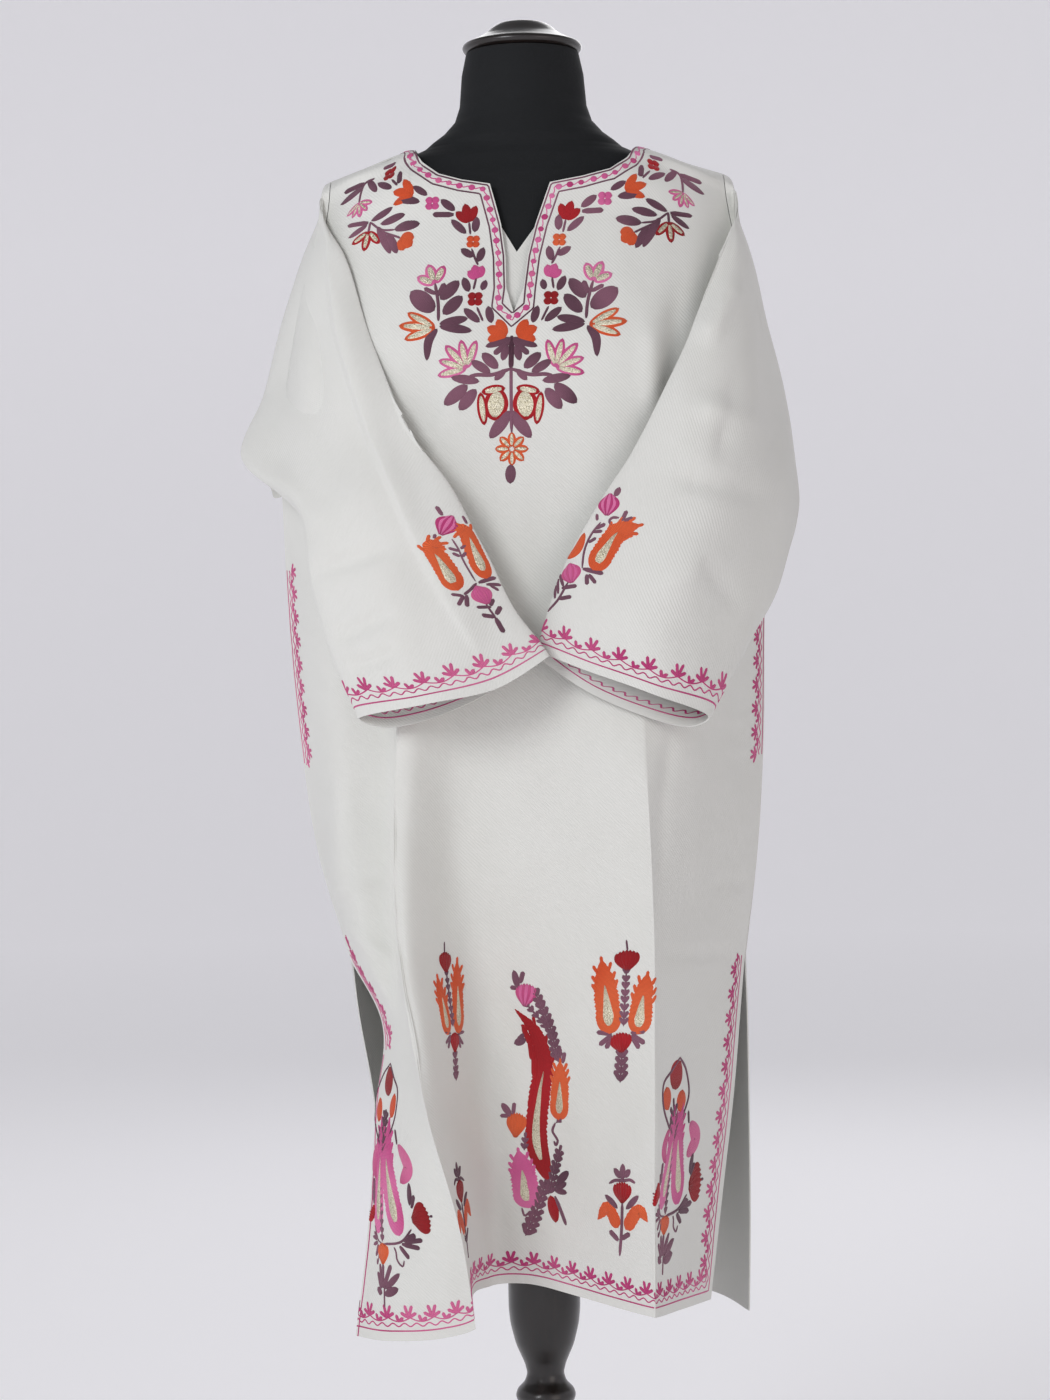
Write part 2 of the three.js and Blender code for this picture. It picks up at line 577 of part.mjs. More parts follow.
const pheran = new THREE.Group();
pheran.add(
  piece("front", panelGeometry(FRONT, FRONT_NECKLINE, FRONT_STEP), wool()),
  piece("back", panelGeometry(BACK, BACK_NECKLINE, BACK_STEP), wool()),
  piece("sleeve_left", sleeveGeometry(LEFT_SLEEVE, -1), wool()),
  piece("sleeve_right", sleeveGeometry(RIGHT_SLEEVE, 1), wool()),
  piece("slit_insert", insertGeometry(), wool()),
  piece("form_torso", torsoGeometry(), jersey()),
  piece("neck_cap", turnedGeometry(CAP_PROFILE, CAP_BOTTOM_Z), lacqueredWood()),
  piece("pole", turnedGeometry(POLE_PROFILE, TORSO_BOTTOM_Z - CONTACT_GAP), lacqueredWood()),
  piece("base", turnedGeometry(BASE_PROFILE, 0), lacqueredWood()),
);

export default pheran;
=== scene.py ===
"""An embroidered pheran on a limbless dress form: draped cloth, its needlework, the form and its stand.

Tables and sizes are in millimetres in the part's own frame. Meshes are made in metres.
"""

import math

import bpy
import numpy as np
from mathutils import Matrix, Vector, noise


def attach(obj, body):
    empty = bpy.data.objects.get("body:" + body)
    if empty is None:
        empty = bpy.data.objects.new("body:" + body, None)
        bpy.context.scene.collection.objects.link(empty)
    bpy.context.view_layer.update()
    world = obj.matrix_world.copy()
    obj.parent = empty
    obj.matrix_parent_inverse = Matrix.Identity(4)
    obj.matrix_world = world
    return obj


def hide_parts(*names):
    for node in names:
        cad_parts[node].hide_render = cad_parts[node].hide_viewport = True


bl_info = {
    "name": "Embroidered pheran on a dress form",
    "version": (1, 0, 0),
    "blender": (4, 5, 0),
    "location": "3D View > Sidebar > Pheran",
    "description": "Drapes, embroiders and stages a pheran on its dress form",
    "category": "Object",
}

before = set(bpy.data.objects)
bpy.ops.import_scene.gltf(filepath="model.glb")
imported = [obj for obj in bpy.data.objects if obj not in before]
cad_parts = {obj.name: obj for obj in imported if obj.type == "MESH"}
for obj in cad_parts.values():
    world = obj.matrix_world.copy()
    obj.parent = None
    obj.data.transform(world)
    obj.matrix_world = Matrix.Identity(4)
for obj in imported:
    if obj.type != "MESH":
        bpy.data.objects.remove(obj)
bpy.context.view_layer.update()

MM = 0.001

# The cut and its drape: the same tables as the part's source. Nearly all x figures of the front's rows from
# 752 down were worked out by a separate program, from points picked by eye in the photograph.
SEAM_GAP = 0.4
SHOULDER_Z, HEM_Z, UNDERARM_Z, SLIT_TOP_Z = 1430, 335, 1100, 652
ARMHOLE_GAP, HEAD_REACH, HEAD_RISE = 0.6, 7, 0.8
HEAD_FALL = 5.5  # how much lower the sleeve starts than the end of the shoulder
CRISP_FROM_Z, CRISP_FULL_Z = 940, 800
NECK_LEVEL = 1350
CLOSEST_PLACES, EVEN_FROM_Z = 1.2, 1405  # a panel's grid: least step across, and top of its even levels
ROWS_LEAN_FROM_Z = 1240  # above this level the rows of a panel rise to its neckline
POCKET_TOP_Z, POCKET_BOTTOM_Z = 1030, 845
INSERT_SETBACK = 3.2
CAD_CLOTH = 1.6

FRONT = {
    "side": -1,
    "columns": dict(
        seamLeft=-270, sideLeft=-205, tuckOuter=-160, ridgeLeft=-125, tuckInner=-100,
        hollow=-55, centre=0, ridgeRight=120, sideRight=195, seamRight=270,
    ),
    "crisp": ("ridgeLeft", "ridgeRight"),
    "x": [
        [1430, -185, -158, -128, -109, -88, -48, 0, 109, 155, 190],
        [1423, -185, -158, -128, -109, -88, -48, 0, 109, 155, 190],
        [1405, -186, -158, -128, -109, -88, -49, -2, 109, 156, 191],
        [1350, -192, -161, -130, -110, -88, -50, -6, 108, 159, 197],
        [1240, -212, -172, -136, -112, -90, -52, -13, 107, 165, 214],
        [1100, -238, -188, -142, -116, -94, -56, -16, 105, 171, 230],
        [980, -234, -186, -137, -120, -100, -62, -12, 102, 168, 224],
        [865, -225, -182, -129, -126, -112, -73, -6, 101, 160, 221],
        [752, -209, -175, -131, -130, -117, -73, -6, 105, 157, 213],
        [652, -180, -156, -127, -124, -112, -64, -8, 106, 154, 199],
        [604, -150, -135, -120, -116, -104, -59, -9, 105, 150, 194],
        [530, -154, -134, -115, -103, -93, -57, -12, 104, 145, 186],
        [425, -162, -135, -98, -75, -72, -52, -16, 102, 138, 171],
        [335, -174, -137, -91, -62, -67, -51, -18, 101, 130, 158],
    ],
    "y": [
        [1430, 0, 0, 0, 0, 0, 0, 0, 0, 0, 0],
        [1423, -16, -33, -37, -38, -48, -62, -68, -38, -35, -17],
        [1405, -24, -45, -59, -63, -68, -76, -79, -63, -47, -25],
        [1350, -40, -64, -76, -82, -88, -95, -98, -84, -66, -40],
        [1240, -48, -88, -112, -123, -129, -130, -127, -125, -92, -48],
        [1100, 0, -84, -112, -122, -128, -129, -128, -127, -94, 0],
        [980, 8, -78, -102, -126, -128, -126, -129, -131, -92, 8],
        [865, 10, -70, -88, -142, -143, -121, -127, -146, -87, 10],
        [752, 10, -70, -88, -158, -158, -112, -120, -150, -85, 10],
        [652, 10, -75, -100, -170, -168, -100, -105, -152, -80, 10],
        [604, -45, -95, -130, -175, -170, -92, -97, -153, -75, 5],
        [530, -85, -120, -155, -178, -160, -80, -82, -153, -75, -5],
        [425, -115, -145, -170, -176, -145, -66, -62, -150, -75, -20],
        [335, -125, -157, -168, -168, -110, -54, -50, -148, -90, -37],
    ],
    "shoulder_rise": [-28, -18, -8, 0, 0, 0, 0, 0, -16, -27],
    "hem_rise": [-16, -15, -11, -3, 12, 14, 15, 0, -3, -5],
    # How far the neckline lies left and right of the centre, and the height of its edge.
    "neckline": [
        (0, 0, 1258), (8.3, 8.3, 1281), (10.5, 10.5, 1312), (16, 16, 1343), (27.3, 27.3, 1383),
        (53, 58, 1388), (74, 84, 1395), (90, 101, 1408), (98, 109, 1420), (103, 115, 1430),
    ],
}
BACK = {
    "side": 1,
    "columns": dict(
        seamLeft=-270, sideLeft=-205, foldLeft=-135, centre=0, foldRight=135, sideRight=205, seamRight=270,
    ),
    "crisp": (),
    "x": [
        [1430, -185, -156, -109, -6, 109, 158, 190],
        [1423, -185, -156, -109, -6, 109, 158, 190],
        [1405, -186, -157, -109, -6, 109, 159, 191],
        [1350, -192, -162, -112, -4, 110, 163, 197],
        [1240, -212, -176, -118, 0, 118, 177, 214],
        [1100, -238, -196, -126, 0, 124, 190, 230],
        [980, -234, -190, -122, 0, 120, 184, 224],
        [865, -225, -184, -118, 0, 118, 180, 221],
        [752, -209, -172, -112, 0, 116, 174, 213],
        [652, -180, -150, -104, 2, 112, 166, 200],
        [604, -176, -148, -102, 4, 112, 168, 202],
        [530, -164, -142, -98, 6, 112, 170, 203],
        [425, -154, -134, -94, 8, 112, 172, 203],
        [335, -146, -128, -90, 10, 112, 171, 201],
    ],
    "y": [
        [1430, 0, 0, 0, 0, 0, 0, 0],
        [1423, 16, 37, 45, 72, 45, 37, 17],
        [1405, 24, 54, 72, 90, 72, 54, 25],
        [1350, 40, 70, 90, 102, 90, 70, 40],
        [1240, 48, 80, 99, 106, 99, 80, 48],
        [1100, 0, 66, 90, 101, 90, 66, 0],
        [980, 8, 72, 94, 102, 94, 72, 8],
        [865, 10, 78, 108, 96, 106, 76, 10],
        [752, 10, 80, 116, 88, 112, 78, 10],
        [652, 10, 82, 120, 82, 114, 80, 10],
        [604, 30, 88, 122, 80, 116, 84, 24],
        [530, 42, 94, 124, 78, 118, 90, 38],
        [425, 50, 98, 126, 76, 120, 96, 50],
        [335, 54, 100, 128, 74, 122, 98, 58],
    ],
    "shoulder_rise": [-28, -17, 0, 0, 0, -17, -27],
    "hem_rise": [-20, -14, -8, -4, -12, -24, -35],
    "neckline": [(0, 0, 1406), (60, 62, 1411), (88, 96, 1420), (103, 115, 1430)],
}
# Height of a row of the insert, how far its edge dips in the middle, and its half width.
INSERT_ROWS = [(1352, 34, 22), (1325, 14, 19), (1300, 4, 18), (1270, 0, 16), (1244, 0, 9)]

# Sleeve rings from armhole to cuff. Each goes through the inner fold, the pressed crease, the face,
# the outer fold, the underside and the rear.
SLEEVES = {
    "sleeve_left": [
        [(-172, -72, 1322), (-187, -68, 1322), (-224, -28, 1290), (-248, 18, 1212), (-250, -4, 1110),
         (-212, -78, 1215)],
        [(-142, -112, 1232), (-169, -112, 1238), (-208, -78, 1210), (-257, -2, 1188), (-258, -16, 1118),
         (-196, -106, 1165)],
        [(-107, -150, 1149), (-144, -148, 1143), (-194, -122, 1136), (-275, -24, 1139), (-250, -42, 1118),
         (-160, -130, 1110)],
        [(-71, -162, 1093), (-121, -170, 1092), (-168, -164, 1082), (-213, -126, 1078), (-200, -112, 1062),
         (-115, -146, 1064)],
        [(-42, -168, 1040), (-94, -182, 1027), (-146, -184, 1013), (-201, -146, 1006), (-186, -132, 995),
         (-88, -150, 1006)],
        [(-11, -174, 977), (-63, -190, 969), (-124, -194, 950), (-184, -158, 951), (-168, -144, 935),
         (-62, -154, 946)],
        [(14, -184, 940), (-33, -198, 912), (-97, -203, 899), (-161, -168, 886), (-131, -158, 878),
         (-67, -164, 895)],
    ],
    "sleeve_right": [
        [(191, -72, 1337), (198, -68, 1337), (212, -46, 1318), (236, 14, 1232), (244, -4, 1110),
         (212, -78, 1215)],
        [(166, -106, 1279), (181, -110, 1270), (206, -92, 1240), (248, 2, 1180), (254, -20, 1088),
         (200, -112, 1176)],
        [(133, -140, 1198), (158, -150, 1188), (189, -142, 1170), (246, -40, 1140), (250, -42, 1062),
         (172, -134, 1130)],
        [(95, -153, 1130), (128, -170, 1116), (169, -167, 1100), (242, -72, 1088), (238, -64, 1030),
         (136, -148, 1072)],
        [(56, -158, 1069), (95, -182, 1047), (149, -186, 1030), (226, -96, 1022), (220, -88, 985),
         (100, -150, 1016)],
        [(22, -158, 1005), (64, -186, 984), (120, -194, 966), (199, -126, 955), (186, -118, 930),
         (74, -152, 955)],
        [(2, -157, 944), (52, -182, 925), (108, -196, 904), (159, -160, 882), (141, -152, 874),
         (54, -153, 905)],
    ],
}
# Where the six places of a sleeve sit on the armhole: side of the body panel and level.
ARMHOLE_PLACES = [(-1, 1388), (-1, 1430), (1, 1388), (1, 1240), (1, UNDERARM_Z), (-1, 1240)]

# Form and stand.
ROUND_STEPS = 96
TORSO_RINGS = [  # height, half width, depth to the front and to the back
    (1521, 54, 52, 52), (1500, 58.5, 55, 55), (1470, 61, 57, 58), (1455, 66, 60, 62),
    (1443, 77, 63, 66), (1435, 88, 65, 68), (1428.2, 96, 64, 66), (1423, 108, 65, 67),
    (1416.2, 129, 68, 72), (1406.4, 154, 71, 76), (1397.2, 173, 75, 80), (1384, 180, 79, 84),
    (1350, 184, 90, 92), (1300, 182, 104, 96), (1240, 176, 116, 96), (1170, 158, 106, 86),
    (1090, 142, 94, 78), (1000, 160, 98, 84), (900, 172, 100, 84), (800, 168, 94, 78),
    (760, 158, 86, 72),
]
CAP_BOTTOM_Z, TORSO_BOTTOM_Z, COLUMN_GAP = 1521.3, 760, 0.3
CAP_PROFILE = [
    (0, 0), (52.5, 0), (56, 2), (57.5, 5), (56.5, 8), (49.5, 11), (38, 17), (30, 24), (24, 28), (0, 29.5),
]
POLE_PROFILE = [
    (0, 0), (34.5, 0), (34.5, -441), (33, -456), (28, -476), (20, -494), (17.5, -504), (20, -512), (27, -519),
    (29, -525), (27, -531), (19, -538), (17, -548), (19, -562), (24, -600), (25, -640), (22, -690),
    (22, -731.4), (0, -731.4),
]
BASE_PROFILE = [
    (0, 0), (187, 0), (190, 3), (190, 12), (186, 18), (160, 22), (60, 25), (48, 28), (0, 28),
]

# The studio: its floor in millimetres, which turns up into a wall far away, then the aim of its lights and
# the photograph's camera, with places in metres and the roll in degrees.
FLOOR_REACH, FLOOR_TURN, WALL_TOP, FLOOR_STEPS = 9000, 3000, 9000, 72
LIGHTS_AIM = (0, 0, 0.95)
CAMERA_PLACE, CAMERA_ROLL, LENS, LENS_SHIFT = (0, -3.0, 0.901), 1.02, 80.36, -0.0062

# Pressed and soft creases: a path seen from the front as (x, z), how far the cloth comes out (+) or
# goes in (-), and how wide it falls away to the left and to the right of the path. More than half of
# the points on the front and the sleeves were worked out by a separate program, in the same way.
FRONT_CREASES = [
    ([(-89, 1250), (-91, 1142)], -4.5, 12, 18),
    ([(113, 1252), (112, 1158)], 4.0, 11, 10),
    ([(139, 1282), (137, 1146)], -4.0, 11, 12),
    ([(-190, 698), (-127, 655)], 3.5, 6, 9),
    ([(-194, 723), (-129, 749)], 3.0, 7, 9),
    ([(-178, 839), (-189, 699)], 4.0, 12, 14),
    ([(-127, 655), (-122, 578)], 2.5, 6, 8),
    ([(128, 874), (117, 810), (113, 717)], -3.0, 7, 7),
    ([(107, 666), (191, 656)], -1.6, 5, 5),
    ([(164, 726), (210, 723)], -1.5, 5, 5),
    # The edge of the pocket bag shows through the cloth.
    ([(176, 879), (202, 879), (202, 851), (177, 851)], 1.2, 4, 4),
    ([(34, 850), (26, 640), (42, 430)], 3.2, 24, 20),
    ([(-30, 820), (-22, 600)], -2.5, 20, 18),
    ([(-10, 1120), (-14, 960)], 2.2, 20, 26),
]
BACK_CREASES = [
    ([(-60, 1330), (-40, 1120), (-48, 900)], 4.0, 16, 22),
    ([(70, 1300), (58, 1080), (66, 880)], 4.0, 20, 14),
    ([(-20, 860), (-14, 600), (-18, 350)], -4.5, 18, 20),
    ([(-150, 1250), (-90, 1190)], 3.5, 10, 14),
    ([(150, 1240), (92, 1175)], 3.5, 12, 10),
    ([(-120, 705), (-10, 695)], -1.6, 5, 5),
    ([(20, 690), (130, 700)], -1.6, 5, 5),
    ([(96, 640), (104, 480)], 3.0, 12, 16),
]
LEFT_SLEEVE_CREASES = [
    # The pressed strip along the inner fold stands proud of the rest.
    ([(-189, 1383), (-184, 1313), (-176, 1252), (-163, 1203), (-146, 1148), (-129, 1107), (-112, 1063),
      (-96, 1029), (-77, 992), (-59, 963), (-41, 934)], 4.6, 16, 4),
    ([(-209, 1018), (-119, 1044)], -4.8, 8, 8),
    ([(-181, 959), (-124, 983)], -4.4, 8, 8),
    ([(-167, 931), (-120, 948)], -3.6, 7, 7),
    ([(-222, 1190), (-192, 1090)], 4.0, 14, 16),
    ([(-238, 1120), (-190, 1060)], 3.5, 10, 12),
]
RIGHT_SLEEVE_CREASES = [
    ([(203, 1290), (159, 1225)], 7.0, 12, 14),
    ([(226, 1150), (148, 1168)], 6.0, 11, 14),
    ([(222, 1085), (128, 1102)], -5.6, 11, 11),
    ([(192, 981), (154, 1026)], -4.6, 8, 9),
    ([(186, 1030), (110, 1000)], 2.2, 10, 12),
    ([(200, 1210), (176, 1110)], -5.0, 12, 12),
]

# Motifs as they lie on the flat cut: kind, thread, width across, and the points along it as (across, up).
# The halves are stitched twice, once mirrored. The points were read off the photograph. A separate program
# turned nearly all of them into these flat millimetres on the draped cloth, and rounded them.
CHEST_HALF = [
    ("tulip", "orange", 12.5, [(-101, 1374), (-121, 1383)]),
    ("leaf", "plum", 5, [(-101, 1383), (-87, 1374)]), ("leaf", "plum", 6, [(-94, 1368), (-115, 1372)]),
    ("dots", "pink", 15, [(-82, 1366)]), ("leaf", "plum", 6, [(-74, 1369), (-60, 1358)]),
    ("leaf", "plum", 4.5, [(-61, 1354), (-81, 1355)]), ("tulip", "red", 16.5, [(-46, 1346), (-51, 1364)]),
    ("stem", "plum", 2.5, [(-46, 1346), (-44, 1334)]), ("leaf", "plum", 5.5, [(-48, 1335), (-63, 1349)]),
    ("leaf", "plum", 6, [(-40, 1336), (-39, 1351)]), ("dots", "orange", 14, [(-41, 1327)]),
    ("leaf", "plum", 5.5, [(-40, 1312), (-52, 1320)]), ("leaf", "plum", 6, [(-35, 1307), (-31, 1321)]),
    ("stem", "plum", 2.5, [(-42, 1320), (-38, 1310), (-35, 1304)]),
    ("tulip", "pink", 16.5, [(-34, 1291), (-39, 1304)]), ("leaf", "plum", 6, [(-42, 1278), (-48, 1292)]),
    ("leaf", "plum", 5, [(-30, 1279), (-27, 1289)]), ("stem", "plum", 2.5, [(-36, 1291), (-38, 1280)]),
    ("dots", "red", 15.5, [(-36, 1271)]), ("leaf", "plum", 6, [(-31, 1249), (-46, 1262)]),
    ("leaf", "plum", 6, [(-20, 1248), (-24, 1264)]), ("stem", "plum", 2.5, [(-34, 1263), (-28, 1250)]),
    ("tulip", "orange", 19, [(-6, 1236), (-24, 1244)]),
    ("goldtulip", "pink", 26.5, [(-74, 1287), (-82, 1306)]),
    ("stem", "plum", 3.5, [(-74, 1287), (-70, 1268), (-69, 1251)]),
    ("leaf", "plum", 3.5, [(-73, 1277), (-84, 1283)]), ("leaf", "plum", 4.5, [(-70, 1275), (-65, 1287)]),
    ("leaf", "plum", 17, [(-73, 1261), (-97, 1280)]), ("leaf", "plum", 11.5, [(-68, 1271), (-52, 1289)]),
    ("leaf", "plum", 11.5, [(-65, 1257), (-48, 1274)]),
    ("goldlily", "orange", 24.5, [(-72, 1245), (-107, 1248)]),
    ("leaf", "plum", 8, [(-68, 1248), (-42, 1253)]), ("leaf", "plum", 8, [(-68, 1246), (-38, 1241)]),
    ("leaf", "plum", 8, [(-70, 1244), (-78, 1234), (-80, 1215)]),
    ("goldfan", "pink", 43, [(-42, 1206), (-62, 1228)]), ("stem", "plum", 5.5, [(-1, 1236), (-1, 1206)]),
    ("leaf", "plum", 5.5, [(-1, 1234), (-25, 1226)]), ("leaf", "plum", 4.5, [(-2, 1232), (-17, 1219)]),
    ("leaf", "plum", 7, [(-5, 1228), (-9, 1213)]), ("leaf", "plum", 9.5, [(-13, 1206), (-28, 1220)]),
    ("leaf", "plum", 8, [(-20, 1202), (-38, 1213)]),
    ("stem", "plum", 4, [(0, 1206), (-19, 1200), (-33, 1200), (-40, 1198)]),
    ("leaf", "plum", 8, [(-30, 1194), (-56, 1198)]), ("leaf", "plum", 11.5, [(-41, 1191), (-62, 1173)]),
    ("leaf", "plum", 11, [(-33, 1187), (-48, 1168)]), ("leaf", "plum", 5, [(-6, 1205), (-16, 1195)]),
    ("goldleaf", "red", 25, [(-16, 1158), (-13, 1188)]),
    ("goldleaf", "red", 10.5, [(-29, 1184), (-25, 1154)]),
    ("goldleaf", "red", 10.5, [(-28, 1184), (-6, 1188)]), ("leaf", "plum", 11, [(-1, 1167), (-20, 1142)]),
]
CHEST_MIDDLE = [
    ("stem", "plum", 3.5, [(-1, 1209), (0, 1147)]), ("daisy", "orange", 31, [(0, 1132)]),
    ("leaf", "plum", 9.5, [(-1, 1118), (-2, 1100)]),
]
SHOULDER_SPRAY = [
    ("dots", "red", 13.5, [(-128, 1405)]), ("stem", "plum", 4.5, [(-126, 1413), (-139, 1414)]),
    ("leaf", "plum", 4.5, [(-116, 1401), (-115, 1389)]),
    ("stem", "plum", 2.5, [(-124, 1397), (-117, 1388)]), ("leaf", "plum", 5, [(-140, 1400), (-123, 1388)]),
    ("leaf", "plum", 6, [(-143, 1360), (-121, 1368)]), ("leaf", "plum", 8, [(-133, 1354), (-108, 1357)]),
    ("leaf", "plum", 9.5, [(-118, 1344), (-93, 1347)]),
    ("stem", "plum", 2.5, [(-144, 1359), (-132, 1348), (-118, 1344)]),
    ("leaf", "plum", 8, [(-136, 1352), (-120, 1320)]), ("leaf", "plum", 8, [(-125, 1342), (-113, 1319)]),
    ("stem", "plum", 2.5, [(-132, 1346), (-111, 1334)]),
    ("tulip", "orange", 21.5, [(-111, 1334), (-99, 1325)]),
    ("goldtulip", "red", 21.5, [(-145, 1349), (-148, 1327)]),
    ("stem", "plum", 3, [(-144, 1359), (-145, 1348)]), ("leaf", "plum", 4.5, [(-146, 1359), (-169, 1362)]),
    ("leaf", "plum", 5, [(-147, 1357), (-166, 1346)]),
    ("goldfan", "pink", 30, [(-160, 1386), (-156, 1368)]),
    ("stem", "plum", 3, [(-160, 1386), (-159, 1397), (-155, 1406), (-145, 1407)]),
    ("leaf", "plum", 4.5, [(-156, 1406), (-180, 1406)]), ("leaf", "plum", 6, [(-156, 1403), (-184, 1393)]),
    ("leaf", "plum", 5.5, [(-152, 1408), (-140, 1391)]),
]
PAISLEY_PAIR = [
    ("paisley", "orange", 27.5, [(86, 593), (79, 628), (71, 662)]),
    ("paisley", "orange", 24.5, [(118, 594), (120, 619), (124, 650)]),
    ("fan", "red", 25.5, [(101, 652), (99, 671)]), ("stem", "plum", 2.5, [(100, 670), (98, 680)]),
    ("sprig", "plum", 12.5, [(101, 601), (100, 651)]), ("fan", "red", 23.5, [(101, 576), (97, 595)]),
    ("leaf", "plum", 4, [(88, 593), (70, 594)]), ("leaf", "plum", 4.5, [(88, 592), (74, 582)]),
    ("leaf", "plum", 4.5, [(88, 590), (82, 579)]), ("leaf", "plum", 4, [(110, 595), (126, 597)]),
    ("leaf", "plum", 4.5, [(111, 593), (127, 586)]), ("leaf", "plum", 4.5, [(112, 591), (121, 581)]),
    ("sprig", "plum", 20.5, [(102, 548), (101, 576)]),
]
SMALL_SPRIG = [
    ("leaf", "plum", 5.5, [(109, 456), (108, 472)]), ("leaf", "plum", 5, [(107, 458), (98, 466)]),
    ("leaf", "plum", 5, [(111, 459), (117, 468)]),
    ("stem", "plum", 3.5, [(94, 451), (101, 455), (110, 456), (118, 458), (124, 456)]),
    ("fan", "red", 20.5, [(111, 435), (109, 455)]), ("leaf", "plum", 5, [(106, 429), (90, 439)]),
    ("leaf", "plum", 5, [(116, 430), (129, 445)]),
    ("stem", "plum", 4, [(111, 435), (112, 410), (111, 385)]),
    ("curl", "orange", 13, [(108, 411), (94, 427), (83, 414)]),
    ("curl", "orange", 13, [(117, 411), (131, 431), (141, 422)]),
    ("leaf", "plum", 4.5, [(109, 399), (98, 406)]), ("leaf", "plum", 4, [(112, 401), (122, 408)]),
]
TALL_SPRAY = [
    ("leaf", "plum", 5.5, [(-12, 633), (-17, 650)]), ("leaf", "plum", 4, [(-10, 638), (-7, 649)]),
    ("leaf", "plum", 3.5, [(-14, 633), (-20, 634)]), ("fan", "pink", 20.5, [(-5, 616), (-3, 638)]),
    ("plume", "red", 21, [(22, 441), (10, 480), (12, 530), (15, 560), (5, 592), (-15, 613)]),
    ("leaf", "plum", 6.5, [(-3, 584), (-15, 579)]), ("leaf", "plum", 4, [(-5, 589), (-11, 583)]),
    ("sprig", "plum", 15.5, [(30, 563), (20, 598), (6, 628)]),
    ("sprig", "plum", 10, [(18, 595), (-3, 618)]),
    ("paisley", "orange", 20, [(33, 504), (33, 537), (32, 564)]),
    ("leaf", "plum", 3.5, [(31, 563), (32, 577)]), ("leaf", "plum", 3.5, [(35, 562), (37, 573)]),
    ("fan", "orange", 19, [(-11, 483), (-10, 509)]), ("leaf", "plum", 5.5, [(-16, 505), (-26, 518)]),
    ("leaf", "plum", 3.5, [(-14, 507), (-13, 519)]), ("leaf", "plum", 3.5, [(-17, 505), (-27, 505)]),
    ("paisley", "pink", 26, [(3, 410), (-2, 440), (-8, 470)]),
    ("sprig", "plum", 10, [(-2, 470), (-1, 486)]),
    ("stem", "plum", 3, [(29, 501), (26, 492), (32, 483), (30, 478), (28, 482)]),
    ("sprig", "plum", 7.5, [(30, 501), (34, 505)]),
    ("sprig", "plum", 15, [(23, 427), (29, 452), (35, 475)]), ("leaf", "plum", 6.5, [(32, 439), (45, 454)]),
    ("leaf", "plum", 5.5, [(30, 434), (43, 442)]), ("leaf", "plum", 5, [(29, 432), (44, 432)]),
    ("leaf", "red", 11.5, [(32, 400), (25, 426)]), ("leaf", "plum", 3.5, [(30, 426), (44, 400)]),
    ("sprig", "plum", 19, [(0, 382), (9, 403), (19, 437)]),
    ("stem", "plum", 2.5, [(-4, 410), (-1, 402), (4, 406)]),
]
CORNER_HALF = [
    ("paisley", "pink", 22.5, [(-221, 426), (-231, 462), (-237, 492), (-234, 523)]),
    ("leaf", "magenta", 14, [(-215, 470), (-202, 484), (-217, 502)]),
    ("leaf", "plum", 5, [(-205, 452), (-203, 471)]), ("leaf", "plum", 3.5, [(-203, 450), (-198, 461)]),
    ("leaf", "plum", 2.5, [(-219, 502), (-223, 514)]), ("fan", "red", 25.5, [(-204, 440), (-183, 443)]),
    ("stem", "plum", 2.5, [(-183, 443), (-180, 443)]),
    ("stem", "plum", 2.5, [(-243, 418), (-220, 421), (-206, 432)]),
    ("leaf", "plum", 4.5, [(-217, 422), (-202, 427)]), ("leaf", "plum", 3.5, [(-215, 421), (-195, 423)]),
    ("leaf", "plum", 3.5, [(-219, 419), (-199, 416)]), ("leaf", "plum", 3.5, [(-222, 417), (-212, 407)]),
    ("stem", "plum", 2, [(-229, 416), (-227, 412), (-226, 405), (-220, 400), (-218, 405)]),
    ("leaf", "plum", 5, [(-241, 380), (-224, 394)]), ("leaf", "plum", 7.5, [(-242, 375), (-226, 381)]),
    ("leaf", "plum", 4, [(-243, 381), (-234, 401)]),
]
CORNER_MIDDLE = [
    ("fan", "orange", 14.5, [(-244, 401), (-244, 419)]), ("stem", "plum", 4, [(-244, 381), (-244, 401)]),
    ("stem", "plum", 2, [(-242, 363), (-242, 381)]),
    ("sprig", "plum", 6, [(-245, 420), (-246, 438), (-247, 469), (-248, 490)]),
]
FLAME = [
    ("stem", "plum", 2, [(180, 493), (152, 527), (151, 547), (167, 557), (185, 568)]),
    ("stem", "plum", 2, [(185, 568), (200, 556), (209, 533), (199, 515), (180, 493)]),
    ("leaf", "red", 16, [(172, 541), (186, 565)]), ("leaf", "orange", 10.5, [(163, 523), (157, 544)]),
    ("leaf", "orange", 11.5, [(191, 518), (194, 538)]), ("sprig", "plum", 15, [(181, 493), (176, 525)]),
]
